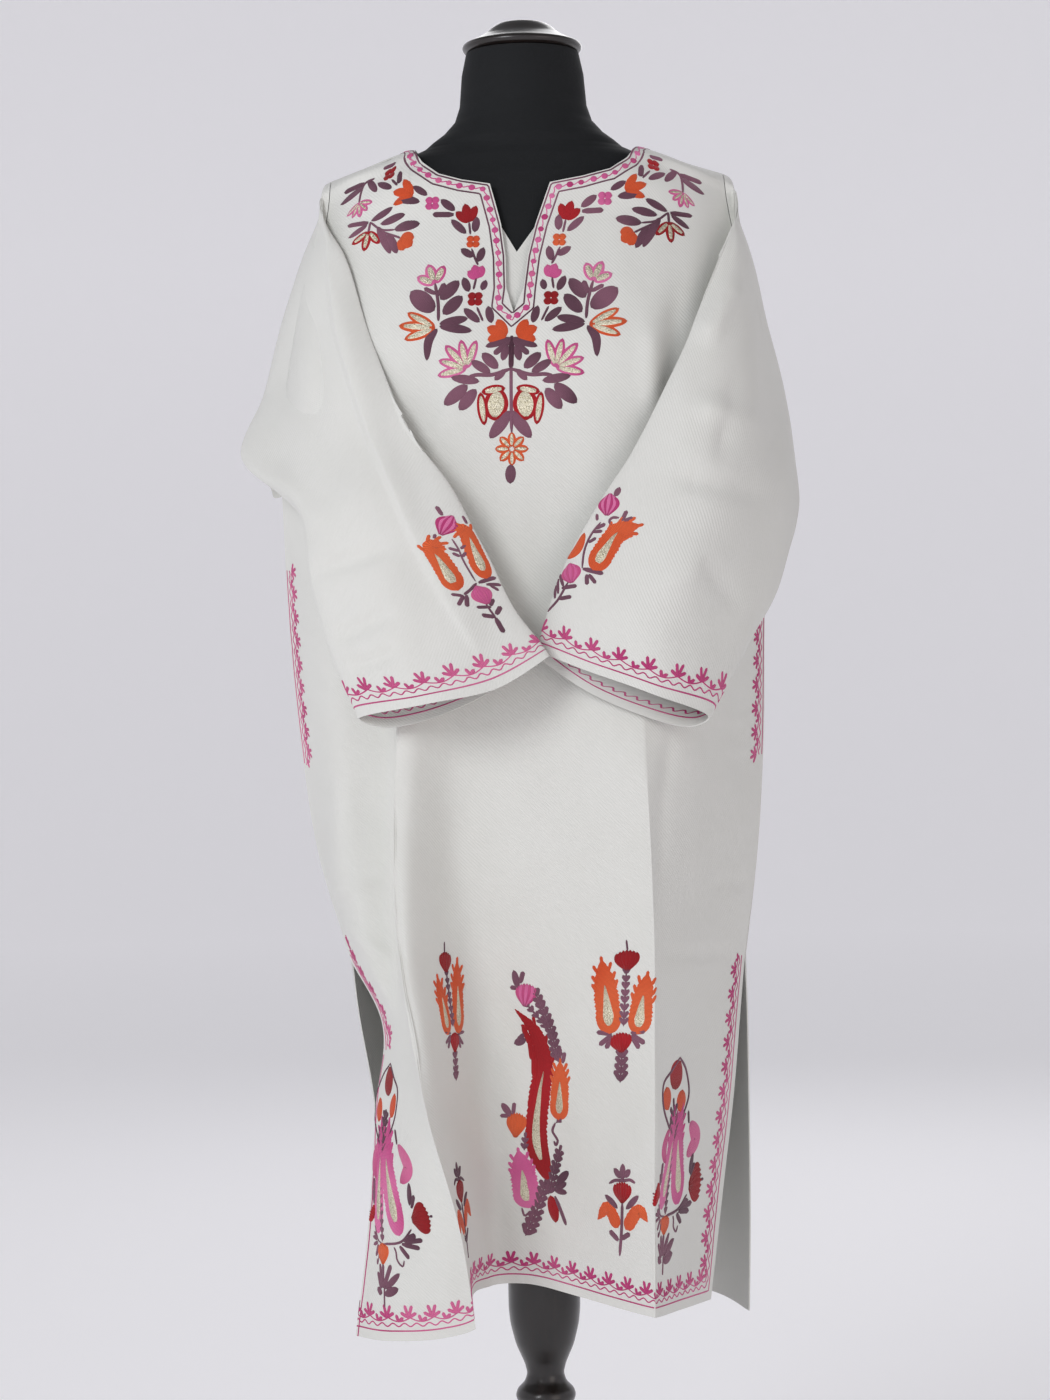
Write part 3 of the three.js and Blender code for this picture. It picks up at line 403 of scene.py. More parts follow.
LEFT_SLEEVE_SPRAY = [
    ("leaf", "plum", 3.5, [(-24, 168), (-25, 179)]), ("bud", "pink", 20, [(-34, 148), (-15, 166)]),
    ("paisley", "orange", 21.5, [(-44, 91), (-46, 122), (-47, 139), (-35, 139)]),
    ("paisley", "orange", 18.5, [(-14, 96), (-12, 122), (-11, 150), (-20, 145)]),
    ("stem", "plum", 2, [(-25, 96), (-26, 117), (-25, 129), (-26, 141)]),
    ("leaf", "plum", 2, [(-25, 127), (-33, 133)]), ("leaf", "plum", 2, [(-27, 122), (-32, 127)]),
    ("leaf", "plum", 2, [(-23, 129), (-17, 131)]), ("leaf", "plum", 2, [(-25, 121), (-20, 124)]),
    ("leaf", "plum", 3, [(-23, 94), (-5, 96)]), ("leaf", "plum", 2, [(-17, 91), (-3, 89)]),
    ("leaf", "plum", 2, [(-14, 90), (-8, 84)]), ("stem", "plum", 3, [(-25, 94), (-34, 89), (-41, 86)]),
    ("leaf", "plum", 2.5, [(-42, 85), (-52, 89)]), ("leaf", "plum", 3, [(-42, 85), (-51, 77)]),
    ("leaf", "plum", 3.5, [(-39, 85), (-44, 74)]), ("bud", "pink", 20, [(-24, 73), (-27, 92)]),
    ("stem", "plum", 2.5, [(-26, 73), (-24, 59)]), ("leaf", "plum", 4, [(-24, 59), (-24, 43)]),
    ("leaf", "plum", 2, [(-23, 70), (-36, 72)]), ("leaf", "plum", 3, [(-23, 71), (-17, 77)]),
    ("leaf", "plum", 3.5, [(-24, 60), (-35, 64)]), ("leaf", "plum", 3.5, [(-22, 62), (-14, 69)]),
    ("leaf", "plum", 1.5, [(-6, 155), (-6, 165)]), ("leaf", "plum", 2, [(-41, 146), (-38, 150)]),
]
RIGHT_SLEEVE_SPRAY = [
    ("leaf", "plum", 5, [(13, 157), (12, 167)]), ("bud", "pink", 21.5, [(16, 138), (7, 158)]),
    ("paisley", "orange", 22, [(32, 89), (32, 111), (35, 131), (50, 145)]),
    ("leaf", "plum", 3.5, [(32, 141), (31, 151)]), ("leaf", "plum", 3, [(34, 142), (40, 148)]),
    ("stem", "plum", 3, [(28, 142), (22, 139), (21, 135), (25, 133)]),
    ("stem", "plum", 2.5, [(21, 86), (14, 102), (12, 117), (14, 130)]),
    ("leaf", "plum", 3, [(13, 123), (19, 131)]), ("leaf", "plum", 2.5, [(12, 119), (20, 124)]),
    ("leaf", "plum", 2.5, [(14, 109), (18, 116)]), ("leaf", "plum", 2.5, [(10, 130), (6, 135)]),
    ("leaf", "orange", 9, [(2, 88), (7, 99), (5, 115)]), ("bud", "pink", 21, [(18, 70), (7, 85)]),
    ("leaf", "plum", 3.5, [(22, 86), (42, 91)]), ("leaf", "plum", 3, [(30, 84), (40, 80)]),
    ("leaf", "plum", 3.5, [(28, 83), (33, 75)]), ("stem", "plum", 3, [(14, 69), (10, 51), (2, 38)]),
    ("leaf", "plum", 3, [(11, 64), (0, 73)]), ("leaf", "plum", 3, [(8, 56), (0, 69)]),
    ("leaf", "plum", 3, [(6, 51), (0, 63)]), ("leaf", "plum", 3, [(10, 62), (24, 70)]),
    ("leaf", "plum", 3, [(11, 52), (23, 59)]),
]


def cubic(places, values, at, crisp=None):
    """A cubic through values at rising places, which turns sharply at a crisp place."""
    places, values, at = np.asarray(places, float), np.asarray(values, float), np.asarray(at, float)
    gaps = np.diff(places)
    slopes = np.diff(values, axis=-1) / gaps
    smooth = (slopes[..., :-1] * gaps[1:] + slopes[..., 1:] * gaps[:-1]) / (gaps[1:] + gaps[:-1])
    tangents = np.concatenate([slopes[..., :1], smooth, slopes[..., -1:]], axis=-1)
    shape = np.broadcast_shapes(values.shape[:-1], at.shape)
    at = np.broadcast_to(np.clip(at, places[0], places[-1]), shape)
    k = np.clip(np.searchsorted(places, at, side="left") - 1, 0, len(places) - 2)

    def pick(array, index):
        wide = np.broadcast_to(array, shape + array.shape[-1:])
        return np.take_along_axis(wide, index[..., None], -1)[..., 0]

    own = pick(slopes, k)
    first, second = pick(tangents, k), pick(tangents, k + 1)
    if crisp is not None:
        crisp = np.asarray(crisp, float)
        first = first + (own - first) * pick(crisp, k)
        second = second + (own - second) * pick(crisp, k + 1)
    width = gaps[k]
    t = (at - places[k]) / width
    return (
        (2 * t**3 - 3 * t**2 + 1) * pick(values, k) + (t**3 - 2 * t**2 + t) * first * width
        + (3 * t**2 - 2 * t**3) * pick(values, k + 1) + (t**3 - t**2) * second * width
    )


def rows_at(table, levels):
    """The columns of a table at some levels. The seams turn where the side seam starts and ends."""
    table = np.array(table, float)
    heights, down = -table[:, 0], -np.asarray(levels, float)
    turns = np.isin(table[:, 0], (UNDERARM_Z, SLIT_TOP_Z)).astype(float)
    last = table.shape[1] - 1
    columns = []
    for c in range(1, last + 1):
        columns.append(cubic(heights, table[:, c], down, turns if c in (1, last) else None))
    return np.stack(columns, axis=-1)


def fade(high, low, z):
    """1 at and above the first height, 0 at and below the second."""
    t = np.clip((np.asarray(z, float) - low) / (high - low), 0, 1)
    return t * t * (3 - 2 * t)


def panel_points(panel, places, levels):
    """The points of a body panel at paired places across the cut and levels."""
    columns = np.array(list(panel["columns"].values()), float)
    places, levels = np.broadcast_arrays(np.asarray(places, float), np.asarray(levels, float))
    sharp = 1 - fade(CRISP_FROM_Z, CRISP_FULL_Z, levels)
    crisp = sharp[..., None] * np.isin(list(panel["columns"]), panel["crisp"])
    top = cubic(columns, panel["shoulder_rise"], places) * fade(SHOULDER_Z, 1280, levels)
    bottom = cubic(columns, panel["hem_rise"], places) * (1 - fade(SLIT_TOP_Z, HEM_Z, levels))
    x = cubic(columns, rows_at(panel["x"], levels), places, crisp)
    y = cubic(columns, rows_at(panel["y"], levels), places, crisp)
    return np.stack([x, y, levels + top + bottom], axis=-1)


def neck_place(panel, distance):
    """The place across the cut that lies a distance to the side of the centre near the neck."""
    columns = np.array(list(panel["columns"].values()), float)
    row = rows_at(panel["x"], NECK_LEVEL)
    fine = np.linspace(columns[0], columns[-1], 5401)
    return float(np.interp(row[list(columns).index(0)] + distance, cubic(columns, row, fine), fine))


def top_levels(panel, places):
    """The level of a panel's top edge at each place: the neckline near the middle, else the shoulder line."""
    left = [(-neck_place(panel, -a), z) for a, _, z in panel["neckline"]]
    right = [(neck_place(panel, b), z) for _, b, z in panel["neckline"]]
    tops = []
    for u in places:
        corners = left if u < 0 else right
        tops.append(np.interp(abs(u), [p for p, _ in corners], [z for _, z in corners]))
    return np.array(tops)


def crease_shift(points, creases):
    """How far creases move each point out, by its distance from their paths in x and z."""
    total = np.zeros(points.shape[:-1])
    flat = points[..., (0, 2)]
    for path, height, left, right in creases:
        path = np.array(path, float)
        lengths = np.linalg.norm(np.diff(path, axis=0), axis=1)
        starts = np.concatenate([[0], np.cumsum(lengths)])
        best, along, side = np.full(total.shape, 1e9), np.zeros(total.shape), np.zeros(total.shape)
        for k in range(len(lengths)):
            step = (path[k + 1] - path[k]) / lengths[k]
            t = np.clip((flat - path[k]) @ step, 0, lengths[k])
            away = flat - path[k] - t[..., None] * step
            distance = np.linalg.norm(away, axis=-1)
            nearer = distance < best
            best = np.where(nearer, distance, best)
            along = np.where(nearer, (starts[k] + t) / starts[-1], along)
            side = np.where(nearer, away[..., 0] * -step[1] + away[..., 1] * step[0], side)
        width = np.where(side < 0, right, left)
        ends = np.clip(np.minimum(along, 1 - along) / 0.22, 0, 1)
        total += height * (0.15 + 0.85 * ends) * np.exp(-((best / width) ** 2))
    return total


def unevenness(points, size, height, seed):
    """A soft random rise and fall of hung cloth, of a given size across."""
    flat = points.reshape(-1, 3) / size
    values = [noise.noise(Vector((p[0] + seed, p[1] * 0.5, p[2] * 0.55))) for p in flat]
    return height * np.array(values).reshape(points.shape[:-1])


def sheet_normals(points, closed):
    """Unit normals of a sheet of points, by the differences of its neighbours."""
    if closed:
        wide = np.concatenate([points[:, -2:-1], points, points[:, 1:2]], axis=1)
        across = wide[:, 2:] - wide[:, :-2]
    else:
        across = np.gradient(points, axis=1)
    down = np.gradient(points, axis=0)
    normals = np.cross(across, down)
    return normals / np.maximum(np.linalg.norm(normals, axis=-1, keepdims=True), 1e-9)


class Cloth:
    """One piece of cloth: a grid of points from its top edge down, with flat distances across the cut."""

    def __init__(self, points, levels, outwards, zero, direction=1, closed=False):
        self.points, self.levels = points, np.asarray(levels, float)
        self.closed, self.direction = closed, direction
        self.normals = sheet_normals(points, closed)
        if outwards(points, self.normals) < 0:
            self.normals = -self.normals
        steps = np.linalg.norm(np.diff(points, axis=1), axis=-1)
        arcs = np.concatenate([np.zeros((len(points), 1)), np.cumsum(steps, axis=1)], axis=1)
        self.arcs = arcs if zero is None else arcs - arcs[:, zero : zero + 1]

    def shift(self, amounts):
        """Move the points out by an amount each."""
        self.points = self.points + self.normals * amounts[..., None]
        turned = sheet_normals(self.points, self.closed)
        same = np.sign(np.sum(turned * self.normals, axis=-1, keepdims=True))
        self.normals = turned * np.where(same == 0, 1, same)

    def locate(self, across, up):
        """The row and column of flat distances: across the cut, and up from the zero level."""
        rows = np.interp(-np.asarray(up, float), -self.levels, np.arange(len(self.levels)))
        first = np.clip(np.floor(rows).astype(int), 0, len(self.levels) - 2)
        share = rows - first
        columns = []
        # All rows are searched as one sorted list, in which each row starts far beyond the one before.
        big = 1e5
        table = (self.arcs + np.arange(len(self.arcs))[:, None] * big).ravel()
        count = self.arcs.shape[1]
        for row in (first, first + 1):
            wanted = np.asarray(across, float) * self.direction
            if self.closed:
                wanted = np.mod(wanted, self.arcs[row, -1])
            wanted = np.clip(wanted, self.arcs[row, 0], self.arcs[row, -1] - 1e-6)
            k = np.searchsorted(table, wanted + row * big, side="right") - 1
            k = np.clip(k, row * count, row * count + count - 2)
            columns.append(k - row * count + (wanted + row * big - table[k]) / (table[k + 1] - table[k]))
        if self.closed:
            jump = columns[1] - columns[0]
            columns[1] = np.where(jump > count / 2, columns[1] - count + 1, columns[1])
            columns[1] = np.where(jump < -count / 2, columns[1] + count - 1, columns[1])
        column = columns[0] * (1 - share) + columns[1] * share
        if self.closed:
            column = np.mod(column, count - 1)
        return rows, column

    def at(self, rows, columns):
        """Points and normals at fractions of rows and columns."""
        r = np.clip(np.floor(rows).astype(int), 0, self.points.shape[0] - 2)
        c = np.clip(np.floor(columns).astype(int), 0, self.points.shape[1] - 2)
        a, b = (rows - r)[..., None], (columns - c)[..., None]

        def mix(grid):
            upper = grid[r, c] * (1 - b) + grid[r, c + 1] * b
            lower = grid[r + 1, c] * (1 - b) + grid[r + 1, c + 1] * b
            return upper * (1 - a) + lower * a

        normals = mix(self.normals)
        return mix(self.points), normals / np.linalg.norm(normals, axis=-1, keepdims=True)


def grid_faces(rows, columns, start=0, closed=False, flip=False):
    """The quads of a grid of vertices."""
    r, c = np.meshgrid(np.arange(rows - 1), np.arange(columns if closed else columns - 1), indexing="ij")
    across = (c + 1) % columns
    here, below = r * columns, (r + 1) * columns
    quads = np.stack([here + c, below + c, below + across, here + across], -1)
    quads = quads.reshape(-1, 4) + start
    return quads[:, ::-1] if flip else quads


def make_object(name, points, faces, materials, uv=None, material_index=None, smooth=True):
    """A mesh object from points in millimetres, quads and one uv per point."""
    mesh = bpy.data.meshes.new(name)
    mesh.from_pydata((np.asarray(points) * MM).tolist(), [], [list(map(int, f)) for f in faces])
    for material in materials:
        mesh.materials.append(material)
    if smooth:
        mesh.shade_smooth()
    if uv is not None:
        layer = mesh.uv_layers.new(name="flat")
        corners = np.empty(len(mesh.loops), int)
        mesh.loops.foreach_get("vertex_index", corners)
        layer.data.foreach_set("uv", (np.asarray(uv, float)[corners] * MM).ravel())
    if material_index is not None:
        mesh.polygons.foreach_set("material_index", np.asarray(material_index, int))
    mesh.validate()
    made = bpy.data.objects.new(name, mesh)
    bpy.context.collection.objects.link(made)
    return made


def shell(name, outer, inner, flat, closed, material):
    """A thin wall between an outer and an inner sheet of points, closed along its edges."""
    rows, columns = outer.shape[:2]
    count = rows * columns
    faces = [grid_faces(rows, columns, 0, closed), grid_faces(rows, columns, count, closed, flip=True)]
    index = np.arange(count).reshape(rows, columns)
    rims = [(index[0], False), (index[-1], True)]
    if not closed:
        rims += [(index[:, 0], True), (index[:, -1], False)]
    for rim, turn in rims:
        ring = np.append(rim, rim[0]) if closed else rim
        a, b = ring[:-1], ring[1:]
        quads = np.stack([a, b, b + count, a + count], -1)
        faces.append(quads[:, ::-1] if turn else quads)
    points = np.concatenate([outer.reshape(-1, 3), inner.reshape(-1, 3)])
    uv = np.concatenate([flat.reshape(-1, 2)] * 2)
    made = make_object(name, points, np.concatenate(faces), [material], uv)
    made.data.set_sharp_from_angle(angle=math.radians(50))
    return made


def mesh_is_inside_out(made):
    """True when a closed mesh's faces point inwards."""
    made.data.calc_loop_triangles()
    points = np.empty(len(made.data.vertices) * 3)
    made.data.vertices.foreach_get("co", points)
    corners = np.empty(len(made.data.loop_triangles) * 3, int)
    made.data.loop_triangles.foreach_get("vertices", corners)
    a, b, c = points.reshape(-1, 3)[corners.reshape(-1, 3)].transpose(1, 0, 2)
    return np.sum(a * np.cross(b, c)) < 0


def face_out(made):
    """Turn a closed mesh's faces to point outwards."""
    if mesh_is_inside_out(made):
        made.data.flip_normals()
    return made


def panel_grid(panel, step_across, step_down):
    """Places across and levels down where a body panel is drawn, through its columns and neck corners."""
    columns = list(panel["columns"].values())
    corners = [neck_place(panel, side) for left, right, _ in panel["neckline"] for side in (-left, right)]
    places = [columns[0]]
    for place in sorted({*columns, *corners})[1:]:
        if place - places[-1] < CLOSEST_PLACES:
            continue
        parts = max(1, round((place - places[-1]) / step_across))
        places += list(places[-1] + (place - places[-1]) * np.arange(1, parts + 1) / parts)
    levels = [SHOULDER_Z, 1428, 1426, 1423, 1419, 1415, 1410, EVEN_FROM_Z]
    levels += list(np.linspace(EVEN_FROM_Z, HEM_Z, round((EVEN_FROM_Z - HEM_Z) / step_down) + 1)[1:])
    return np.array(places), np.array(levels)


def panel_cloth(panel, creases, seed, step_across, step_down):
    """A body panel with its drape and creases, and the places and levels of its grid."""
    places, levels = panel_grid(panel, step_across, step_down)
    points = panel_points(panel, places[None, :], levels[:, None])
    zero = int(np.argmin(abs(places)))
    cloth = Cloth(points, levels, lambda p, n: np.sum(n[..., 1]) * panel["side"], zero)
    cloth.places = places
    edge = np.minimum(places - places[0], places[-1] - places)
    near_seam = np.clip(edge / 25, 0, 1)[None, :]
    below_shoulder = np.clip((1400 - levels) / 60, 0, 1)[:, None]
    free = 0.35 + 0.65 * (1 - fade(UNDERARM_Z, SLIT_TOP_Z, levels))[:, None]
    amount = crease_shift(points, creases) + unevenness(points, 62, 2.4, seed) * free
    amount += unevenness(points, 26, 0.8, seed + 7)
    cloth.shift(amount * near_seam * below_shoulder)
    return cloth, places, levels


def panel_object(name, panel, cloth, places, levels, thickness, material):
    """The shell of a body panel, cut along its neckline, with square edges where it is sewn."""
    tops = top_levels(panel, places)
    rows = np.arange(len(levels), dtype=float)
    bend_row = int(np.searchsorted(-levels, -ROWS_LEAN_FROM_Z))
    grid = np.repeat(rows[:, None], len(places), axis=1)
    top_rows = np.interp(-tops, -levels, rows)
    for r in range(bend_row):
        grid[r] = top_rows + (bend_row - top_rows) * r / bend_row
    plain = tops >= SHOULDER_Z
    grid[:bend_row, plain] = rows[:bend_row, None]
    columns = np.repeat(np.arange(len(places), dtype=float)[None, :], len(levels), axis=0)
    outer, normals = cloth.at(grid, columns)
    z = np.interp(grid, rows, levels)
    sewn = np.zeros(outer.shape[:2], bool)
    sewn[0] = plain
    seam = (z >= SLIT_TOP_Z - 20) & np.isin(columns, (0, len(places) - 1))
    sewn |= seam & (z <= UNDERARM_Z)
    outer[..., 1] += np.where(sewn, panel["side"] * SEAM_GAP / 2, 0)
    normals[0, plain] = (0, 0, 1)
    normals[seam & (z <= UNDERARM_Z + 20)] = (1, 0, 0)
    normals[:, 0][(seam & (z <= UNDERARM_Z + 20))[:, 0]] = (-1, 0, 0)
    across = np.take_along_axis(cloth.arcs, columns.astype(int), 1)
    flat = np.stack([across, z], -1)
    return face_out(shell(name, outer, outer - normals * thickness, flat, False, material))


def through_rings(rings, shares, closed=False):
    """Centripetal curves through rings of points, one curve for each place, sampled at shares of the way."""
    rings = np.asarray(rings, float)
    count = len(rings)
    at = np.asarray(shares, float) * (count if closed else count - 1)
    first = np.floor(at).astype(int)
    if not closed:
        first = np.minimum(first, count - 2)
    t = (at - first).reshape((-1,) + (1,) * (rings.ndim - 1))
    if closed:
        p = [rings[(first + k) % count] for k in (-1, 0, 1, 2)]
    else:
        wide = np.concatenate([2 * rings[:1] - rings[1:2], rings, 2 * rings[-1:] - rings[-2:-1]])
        p = [wide[first + k] for k in (0, 1, 2, 3)]
    gaps = []
    for k in range(3):
        squared = np.sum((p[k + 1] - p[k]) ** 2, axis=-1, keepdims=True)
        gaps.append(np.maximum(squared**0.25, 1e-4))
    a, b, c = gaps
    left = ((p[1] - p[0]) / a - (p[2] - p[0]) / (a + b) + (p[2] - p[1]) / b) * b
    right = ((p[2] - p[1]) / b - (p[3] - p[1]) / (b + c) + (p[3] - p[2]) / c) * b
    return (
        p[1] + left * t + (-3 * p[1] + 3 * p[2] - 2 * left - right) * t**2
        + (2 * p[1] - 2 * p[2] + left + right) * t**3
    )


def sleeve_cloth(name, sign, creases, seed, ring_steps, rows):
    """A sleeve as a tube of points from armhole to cuff, with its creases."""
    ring = []
    for k, (side, z) in enumerate(ARMHOLE_PLACES):
        to_side, to_z = ARMHOLE_PLACES[(k + 1) % len(ARMHOLE_PLACES)]
        panel = FRONT if (to_side if z in (SHOULDER_Z, UNDERARM_Z) else side) < 0 else BACK
        u = panel["columns"]["seamLeft" if sign < 0 else "seamRight"]
        for s in range(ring_steps):
            ring.append(panel_points(panel, u, z + (to_z - z) * s / ring_steps) + (sign * ARMHOLE_GAP, 0, 0))
    armhole = np.array(ring)
    out = armhole - armhole.mean(axis=0)
    out[:, 0] = 0
    out /= np.linalg.norm(out, axis=1, keepdims=True)
    head = armhole + out * HEAD_RISE + (sign * HEAD_REACH, 0, 0)
    head[:, 2] -= HEAD_FALL * np.clip(out[:, 2], 0, 1) ** 2
    shares = np.arange(6 * ring_steps) / (6 * ring_steps)
    named = [armhole, head]
    named += [through_rings(np.array(row)[:, None, :], shares, closed=True)[:, 0] for row in SLEEVES[name]]
    points = through_rings(named, np.linspace(0, 1, rows))
    points = np.concatenate([points, points[:, :1]], axis=1)
    face = points[:, 2 * ring_steps]
    lengths = np.concatenate([[0], np.cumsum(np.linalg.norm(np.diff(face, axis=0), axis=1))])
    middle = points.mean(axis=1, keepdims=True)
    cloth = Cloth(
        points, lengths[-1] - lengths, lambda p, n: np.sum((p - middle) * n), None,
        direction=sign, closed=True,
    )
    front = np.clip(-cloth.normals[..., 1] * 2 - 0.7, 0, 1)
    start = np.clip(lengths / 60, 0, 1)[:, None]
    amount = crease_shift(points, creases) * front + unevenness(points, 44, 3.0, seed)
    amount[:, -1] = amount[:, 0]
    cloth.shift(amount * start)
    return cloth


def sleeve_object(name, cloth, thickness, material):
    """The shell of a sleeve, open at both ends."""
    outer, normals = cloth.points[:, :-1].copy(), cloth.normals[:, :-1].copy()
    normals[0, :, 0] = 0
    normals[0] /= np.linalg.norm(normals[0], axis=-1, keepdims=True)
    flat = np.stack([cloth.arcs[:, :-1], np.repeat(cloth.levels[:, None], outer.shape[1], axis=1)], -1)
    return face_out(shell(name, outer, outer - normals * thickness, flat, True, material))


def insert_object(thickness, material):
    """The small panel behind the neck slit."""
    shares = np.linspace(-1, 1, 21)
    table = np.array(INSERT_ROWS, float)
    at = np.linspace(0, len(table) - 1, 33)
    z, dip, half = (np.interp(at, range(len(table)), table[:, k])[:, None] for k in range(3))
    places = np.array([[neck_place(FRONT, d) for d in row] for row in half * shares])
    levels = z - dip * (1 - abs(shares))
    points = panel_points(FRONT, places, levels)
    across = panel_points(FRONT, places + 4, levels) - panel_points(FRONT, places - 4, levels)
    down = panel_points(FRONT, places, levels - 4) - panel_points(FRONT, places, levels + 4)
    normals = np.cross(across, down)
    normals *= np.sign(normals[..., 1:2]) / np.linalg.norm(normals, axis=-1, keepdims=True)
    outer = points + normals * (CAD_CLOTH + INSERT_SETBACK)
    flat = np.stack([half * shares, levels], -1)
    return face_out(shell("slit_insert_cloth", outer, outer + normals * thickness, flat, False, material))


def turned_object(name, profile, z, material, steps=ROUND_STEPS):
    """A piece turned on a lathe: its profile is softened, then swept round the upright axis."""
    profile = np.array(profile, float)
    soft = [profile[0]]
    for k in range(1, len(profile) - 1):
        before, here, after = profile[k - 1], profile[k], profile[k + 1]
        reach = 0.35 * min(np.linalg.norm(here - before), np.linalg.norm(after - here), 14)
        start = here + (before - here) / np.linalg.norm(before - here) * reach
        end = here + (after - here) / np.linalg.norm(after - here) * reach
        for t in (0, 0.33, 0.67, 1):
            soft.append((1 - t) ** 2 * start + 2 * t * (1 - t) * here + t**2 * end)
    soft.append(profile[-1])
    soft = np.array(soft)
    angles = np.linspace(0, 2 * math.pi, steps, endpoint=False)
    rings = [[(r * math.cos(a), r * math.sin(a), z + h) for a in angles] for r, h in soft[1:-1]]
    points = [p for ring in rings for p in ring]
    faces = [list(f) for f in grid_faces(len(rings), steps, closed=True)]
    ends = [len(points), len(points) + 1]
    points += [(0, 0, z + soft[0][1]), (0, 0, z + soft[-1][1])]
    for k in range(steps):
        faces.append([ends[0], k, (k + 1) % steps])
        last = (len(rings) - 1) * steps
        faces.append([ends[1], last + (k + 1) % steps, last + k])
    made = face_out(make_object(name, points, faces, [material]))
    made.data.set_sharp_from_angle(angle=math.radians(40))
    return made


# Needlework, laid out in flat millimetres of each cut: across from its centre, and up.

# Across a row of stitches: its places from edge to edge, and its heights there as shares of its crown.
# The edges are sunk into the cloth.
ROW_SHARES = np.array([-1, -0.6, 0, 0.6, 1])
ROW_HEIGHTS = np.array([-0.25, 0.75, 1, 0.75, -0.25])
THREADS = ("plum", "pink", "magenta", "red", "orange", "gold")
# The second colour of each dyed wool, which its uneven dyeing runs into.
SECOND_DYES = {
    "plum": "#623F4E", "pink": "#D2528F", "magenta": "#E0709F", "red": "#981219", "orange": "#DC5228",
}
# The zari's second colour is painted shade, at the rims of its grains round their painted glints.
ZARI_PAINTED_SHADE = "#AFA686"
CHAIN_IN, ZIGZAG_IN, SCROLL_IN = 9, 14.4, 20.7  # the three rows of a border, from the edge of the cloth
ZIGZAG_PITCH, ZIGZAG_RISE = 11.7, 1.5
FLOWER_PITCH, FLOWER_HEIGHT = 22.5, 11.5
CUFF_FLOWER_PITCH = 28
NECK_IN, DOTS_IN, NECK_OUT, DOT_PITCH, DOT_RADIUS = 1.8, 6.2, 11, 11, 3.2
# The loose strokes near a paisley's tip: share of the way up, and place across it.
PAISLEY_TEETH = [(share, place) for share in (0.6, 0.72, 0.84) for place in (-0.7, 0.7)] + [(0.93, 0)]
TOOTH_LENGTH = 8
# The loose feathers of a plume: share of the way up, slip to the side, length.
PLUME_FEATHERS = ((0.56, 0.3, 40), (0.64, 0.62, 34), (0.72, 0.8, 30), (0.8, 0.8, 24), (0.88, 0.6, 18))
NECK_TIP = [(-9, 1267), (-1.2, 1259.5), (7.4, 1267)]  # the band closes under the slit in a blunt point


def turned(direction, degrees):
    """A flat direction turned to the left."""
    a = math.radians(degrees)
    x, y = direction
    return np.array([x * math.cos(a) - y * math.sin(a), x * math.sin(a) + y * math.cos(a)])


def smooth_path(points, step=2.2):
    """A smooth line through flat points, in even steps of about the given length."""
    points = np.asarray(points, float)
    length = np.linalg.norm(np.diff(points, axis=0), axis=1).sum()
    count = max(6, round(length / step) + 1)
    if len(points) == 2:
        return points[0] + (points[1] - points[0]) * np.linspace(0, 1, count)[:, None]
    return through_rings(points[:, None, :], np.linspace(0, 1, count))[:, 0]


def lengths_along(path):
    """How far along a path each of its points lies."""
    return np.concatenate([[0], np.cumsum(np.linalg.norm(np.diff(path, axis=0), axis=1))])


def even_path(points, step):
    """The points of a polyline at even steps, with its direction at each."""
    along = lengths_along(points)
    at = np.linspace(0, along[-1], max(2, round(along[-1] / step)))
    path = np.stack([np.interp(at, along, points[:, k]) for k in (0, 1)], -1)
    way = np.gradient(path, axis=0)
    return path, way / np.linalg.norm(way, axis=1, keepdims=True), at


def inset_path(points, distance):
    """A polyline moved to its left by a distance, mitred at its corners."""
    points = np.asarray(points, float)
    way = np.diff(points, axis=0)
    way /= np.linalg.norm(way, axis=1, keepdims=True)
    left = np.stack([-way[:, 1], way[:, 0]], -1)
    before, after = np.concatenate([left[:1], left]), np.concatenate([left, left[-1:]])
    middle = before + after
    return points + middle * (2 * distance / np.sum(middle**2, axis=1, keepdims=True))


def leaf_shape(t):
    """Half width of a blunt leaf or petal along its length."""
    return np.sin(np.pi * np.clip(t, 0, 1)) ** 0.5


def petal_shape(t):
    """Half width of a petal that widens to a round tip."""
    return np.sin(np.pi * np.clip(t, 0, 1) ** 1.5) ** 0.6


def drop_shape(t):
    """Half width of a paisley: round at its base, drawn out to its tip."""
    round_part = np.sqrt(np.clip(1 - ((0.26 - t) / 0.26) ** 2, 0, 1))
    return np.where(t < 0.26, round_part, np.clip(1 - ((t - 0.26) / 0.74) ** 3.2, 0, 1))


def stroke_shape(t):
    """A short stroke of stitches: slim where it starts, blunt at its end."""
    return np.minimum(0.5 + 2.2 * t, 1) * np.sqrt(np.clip(1 - np.clip((t - 0.84) / 0.16, 0, 1) ** 2, 0.04, 1))


